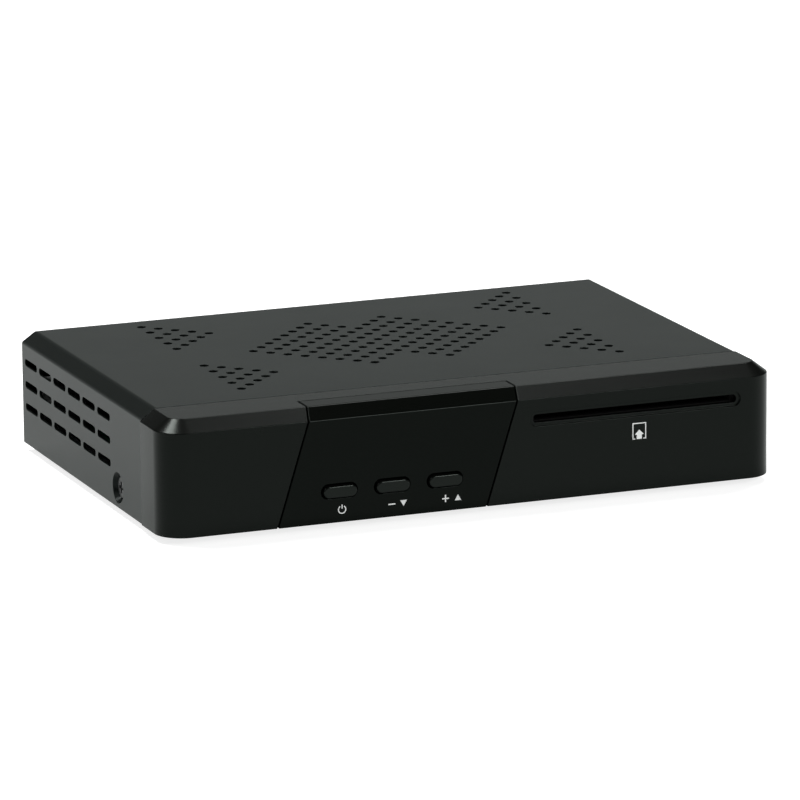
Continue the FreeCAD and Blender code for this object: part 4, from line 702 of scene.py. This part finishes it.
sink_side_heads(screws)
round_edges(screws, HEAD_EDGE)
dress(screws, screw_steel)


# Floor
# A plain sheet of matt paper that runs out past the view. It looks white to the camera, keeps a
# faint shadow under the case, and shows a little darker and cooler in reflections.

FLOOR_REACH = 8.0
FLOOR_GREY = (0.45, 0.45, 0.45, 1)
FLOOR_GLOW = 0.80
FLOOR_ROUGHNESS = 0.9
WHITE = (1, 1, 1, 1)
COOL_PALE = (0.70, 0.76, 0.73, 1)
corners = np.array([[-1, -1, 0], [1, -1, 0], [1, 1, 0], [-1, 1, 0]], float) * FLOOR_REACH
floor_mesh = bpy.data.meshes.new("floor")
floor_mesh.from_pydata(corners.tolist(), [], [[0, 1, 2, 3]])
floor = bpy.data.objects.new("floor", floor_mesh)
bpy.context.scene.collection.objects.link(floor)


def make_floor_finish():
    """Matt paper that glows for the camera and in reflections but lights nothing by itself."""
    material = bpy.data.materials.new("floor_paper")
    material.use_nodes = True
    tree = material.node_tree
    surface = tree.nodes["Principled BSDF"]
    surface.inputs["Base Color"].default_value = FLOOR_GREY
    surface.inputs["Roughness"].default_value = FLOOR_ROUGHNESS
    surface.inputs["Specular IOR Level"].default_value = 0.0
    seen = add(tree, "ShaderNodeLightPath")
    direct = add(tree, "ShaderNodeMath", {0: seen.outputs["Is Camera Ray"],
                                          1: seen.outputs["Is Glossy Ray"]}, operation="MAXIMUM")
    through = add(tree, "ShaderNodeMath", {0: direct.outputs[0],
                                           1: seen.outputs["Is Transmission Ray"]}, operation="MAXIMUM")
    glow = add(tree, "ShaderNodeMath", {0: through.outputs[0], 1: FLOOR_GLOW}, operation="MULTIPLY")
    paper = add(tree, "ShaderNodeMix", {
        "Factor": seen.outputs["Is Camera Ray"], 6: COOL_PALE, 7: WHITE}, data_type="RGBA")
    tree.links.new(paper.outputs[2], surface.inputs["Emission Color"])
    tree.links.new(glow.outputs[0], surface.inputs["Emission Strength"])
    return material


floor.data.materials.append(make_floor_finish())


# Studio light
# A white wall all round that fades upwards into a dark ceiling. Small soft boxes stand nearly
# overhead at the left, overhead at the right and low in front at the right, and a broad weak one
# at the left.

COOL_WHITE = (0.94, 1.0, 0.97, 1)
CEILING_FROM = math.sin(math.radians(22))
CEILING_GREY = 0.04
world = bpy.data.worlds.new("studio")
bpy.context.scene.world = world
world.use_nodes = True
sky = world.node_tree
background = sky.nodes["Background"]
outwards = add(sky, "ShaderNodeTexCoord").outputs["Generated"]
height = add(sky, "ShaderNodeSeparateXYZ", {0: outwards})
wall = add(sky, "ShaderNodeMapRange", {
    "Value": height.outputs["Z"], "From Min": 0.0, "From Max": CEILING_FROM,
    "To Min": 1.0, "To Max": CEILING_GREY}, interpolation_type="SMOOTHSTEP")
eye = add(sky, "ShaderNodeLightPath")
level = add(sky, "ShaderNodeMath", {0: wall.outputs[0], 1: eye.outputs["Is Camera Ray"]},
            operation="MAXIMUM")
wall_paper = add(sky, "ShaderNodeMix", {
    "Factor": eye.outputs["Is Camera Ray"], 6: COOL_WHITE, 7: WHITE}, data_type="RGBA")
sky.links.new(wall_paper.outputs[2], background.inputs["Color"])
sky.links.new(level.outputs[0], background.inputs["Strength"])


def soft_box(name, direction, distance, size, watts):
    """A square area lamp out along a direction, turned to face the object, in metres and watts."""
    lamp = bpy.data.lights.new(name, "AREA")
    lamp.shape = "SQUARE"
    lamp.size = size
    lamp.energy = watts
    holder = bpy.data.objects.new(name, lamp)
    place = Vector(direction).normalized() * distance
    holder.matrix_world = Matrix.Translation(place) @ place.to_track_quat("Z", "Y").to_matrix().to_4x4()
    bpy.context.scene.collection.objects.link(holder)


soft_box("top_soft_box", (-0.27, 0.28, 0.92), 1.3, 0.42, 18.0)
soft_box("overhead_soft_box", (0.36, 0.24, 0.90), 1.5, 0.42, 9.5)
soft_box("left_soft_box", (-0.85, -0.25, 0.75), 1.8, 0.9, 4.0)
soft_box("front_soft_box", (0.36, -0.80, 0.48), 1.6, 0.4, 10.0)


# Camera
# The photograph's own camera, solved from the corners of the case: a long lens that looks from the
# left front and a little above. Its focal length is in pixels of the photograph.

CAMERA_PLACE = Vector((-595.34, -1522.64, 408.52)) * MM
CAMERA_AZIMUTH = math.radians(21.475)
CAMERA_ELEVATION = math.radians(13.472)
CAMERA_ROLL = math.radians(-0.485)
PIXEL_FOCAL = 6328.4
PHOTO_WIDTH = 800
SENSOR_WIDTH = 36.0
VIEW_DEPTH = 50.0
forward = Vector((math.sin(CAMERA_AZIMUTH) * math.cos(CAMERA_ELEVATION),
                  math.cos(CAMERA_AZIMUTH) * math.cos(CAMERA_ELEVATION),
                  -math.sin(CAMERA_ELEVATION)))
level_right = Vector((math.cos(CAMERA_AZIMUTH), -math.sin(CAMERA_AZIMUTH), 0))
level_up = level_right.cross(forward)
right = math.cos(CAMERA_ROLL) * level_right + math.sin(CAMERA_ROLL) * level_up
up = -math.sin(CAMERA_ROLL) * level_right + math.cos(CAMERA_ROLL) * level_up
lens = bpy.data.cameras.new("photo_camera")
lens.sensor_width = SENSOR_WIDTH
lens.lens = PIXEL_FOCAL / PHOTO_WIDTH * SENSOR_WIDTH
lens.clip_end = VIEW_DEPTH
camera = bpy.data.objects.new("photo_camera", lens)
bpy.context.scene.collection.objects.link(camera)
turn = Matrix((right, up, -forward)).transposed().to_4x4()
camera.matrix_world = Matrix.Translation(CAMERA_PLACE) @ turn
bpy.context.scene.camera = camera
bpy.context.scene.view_settings.view_transform = "Standard"
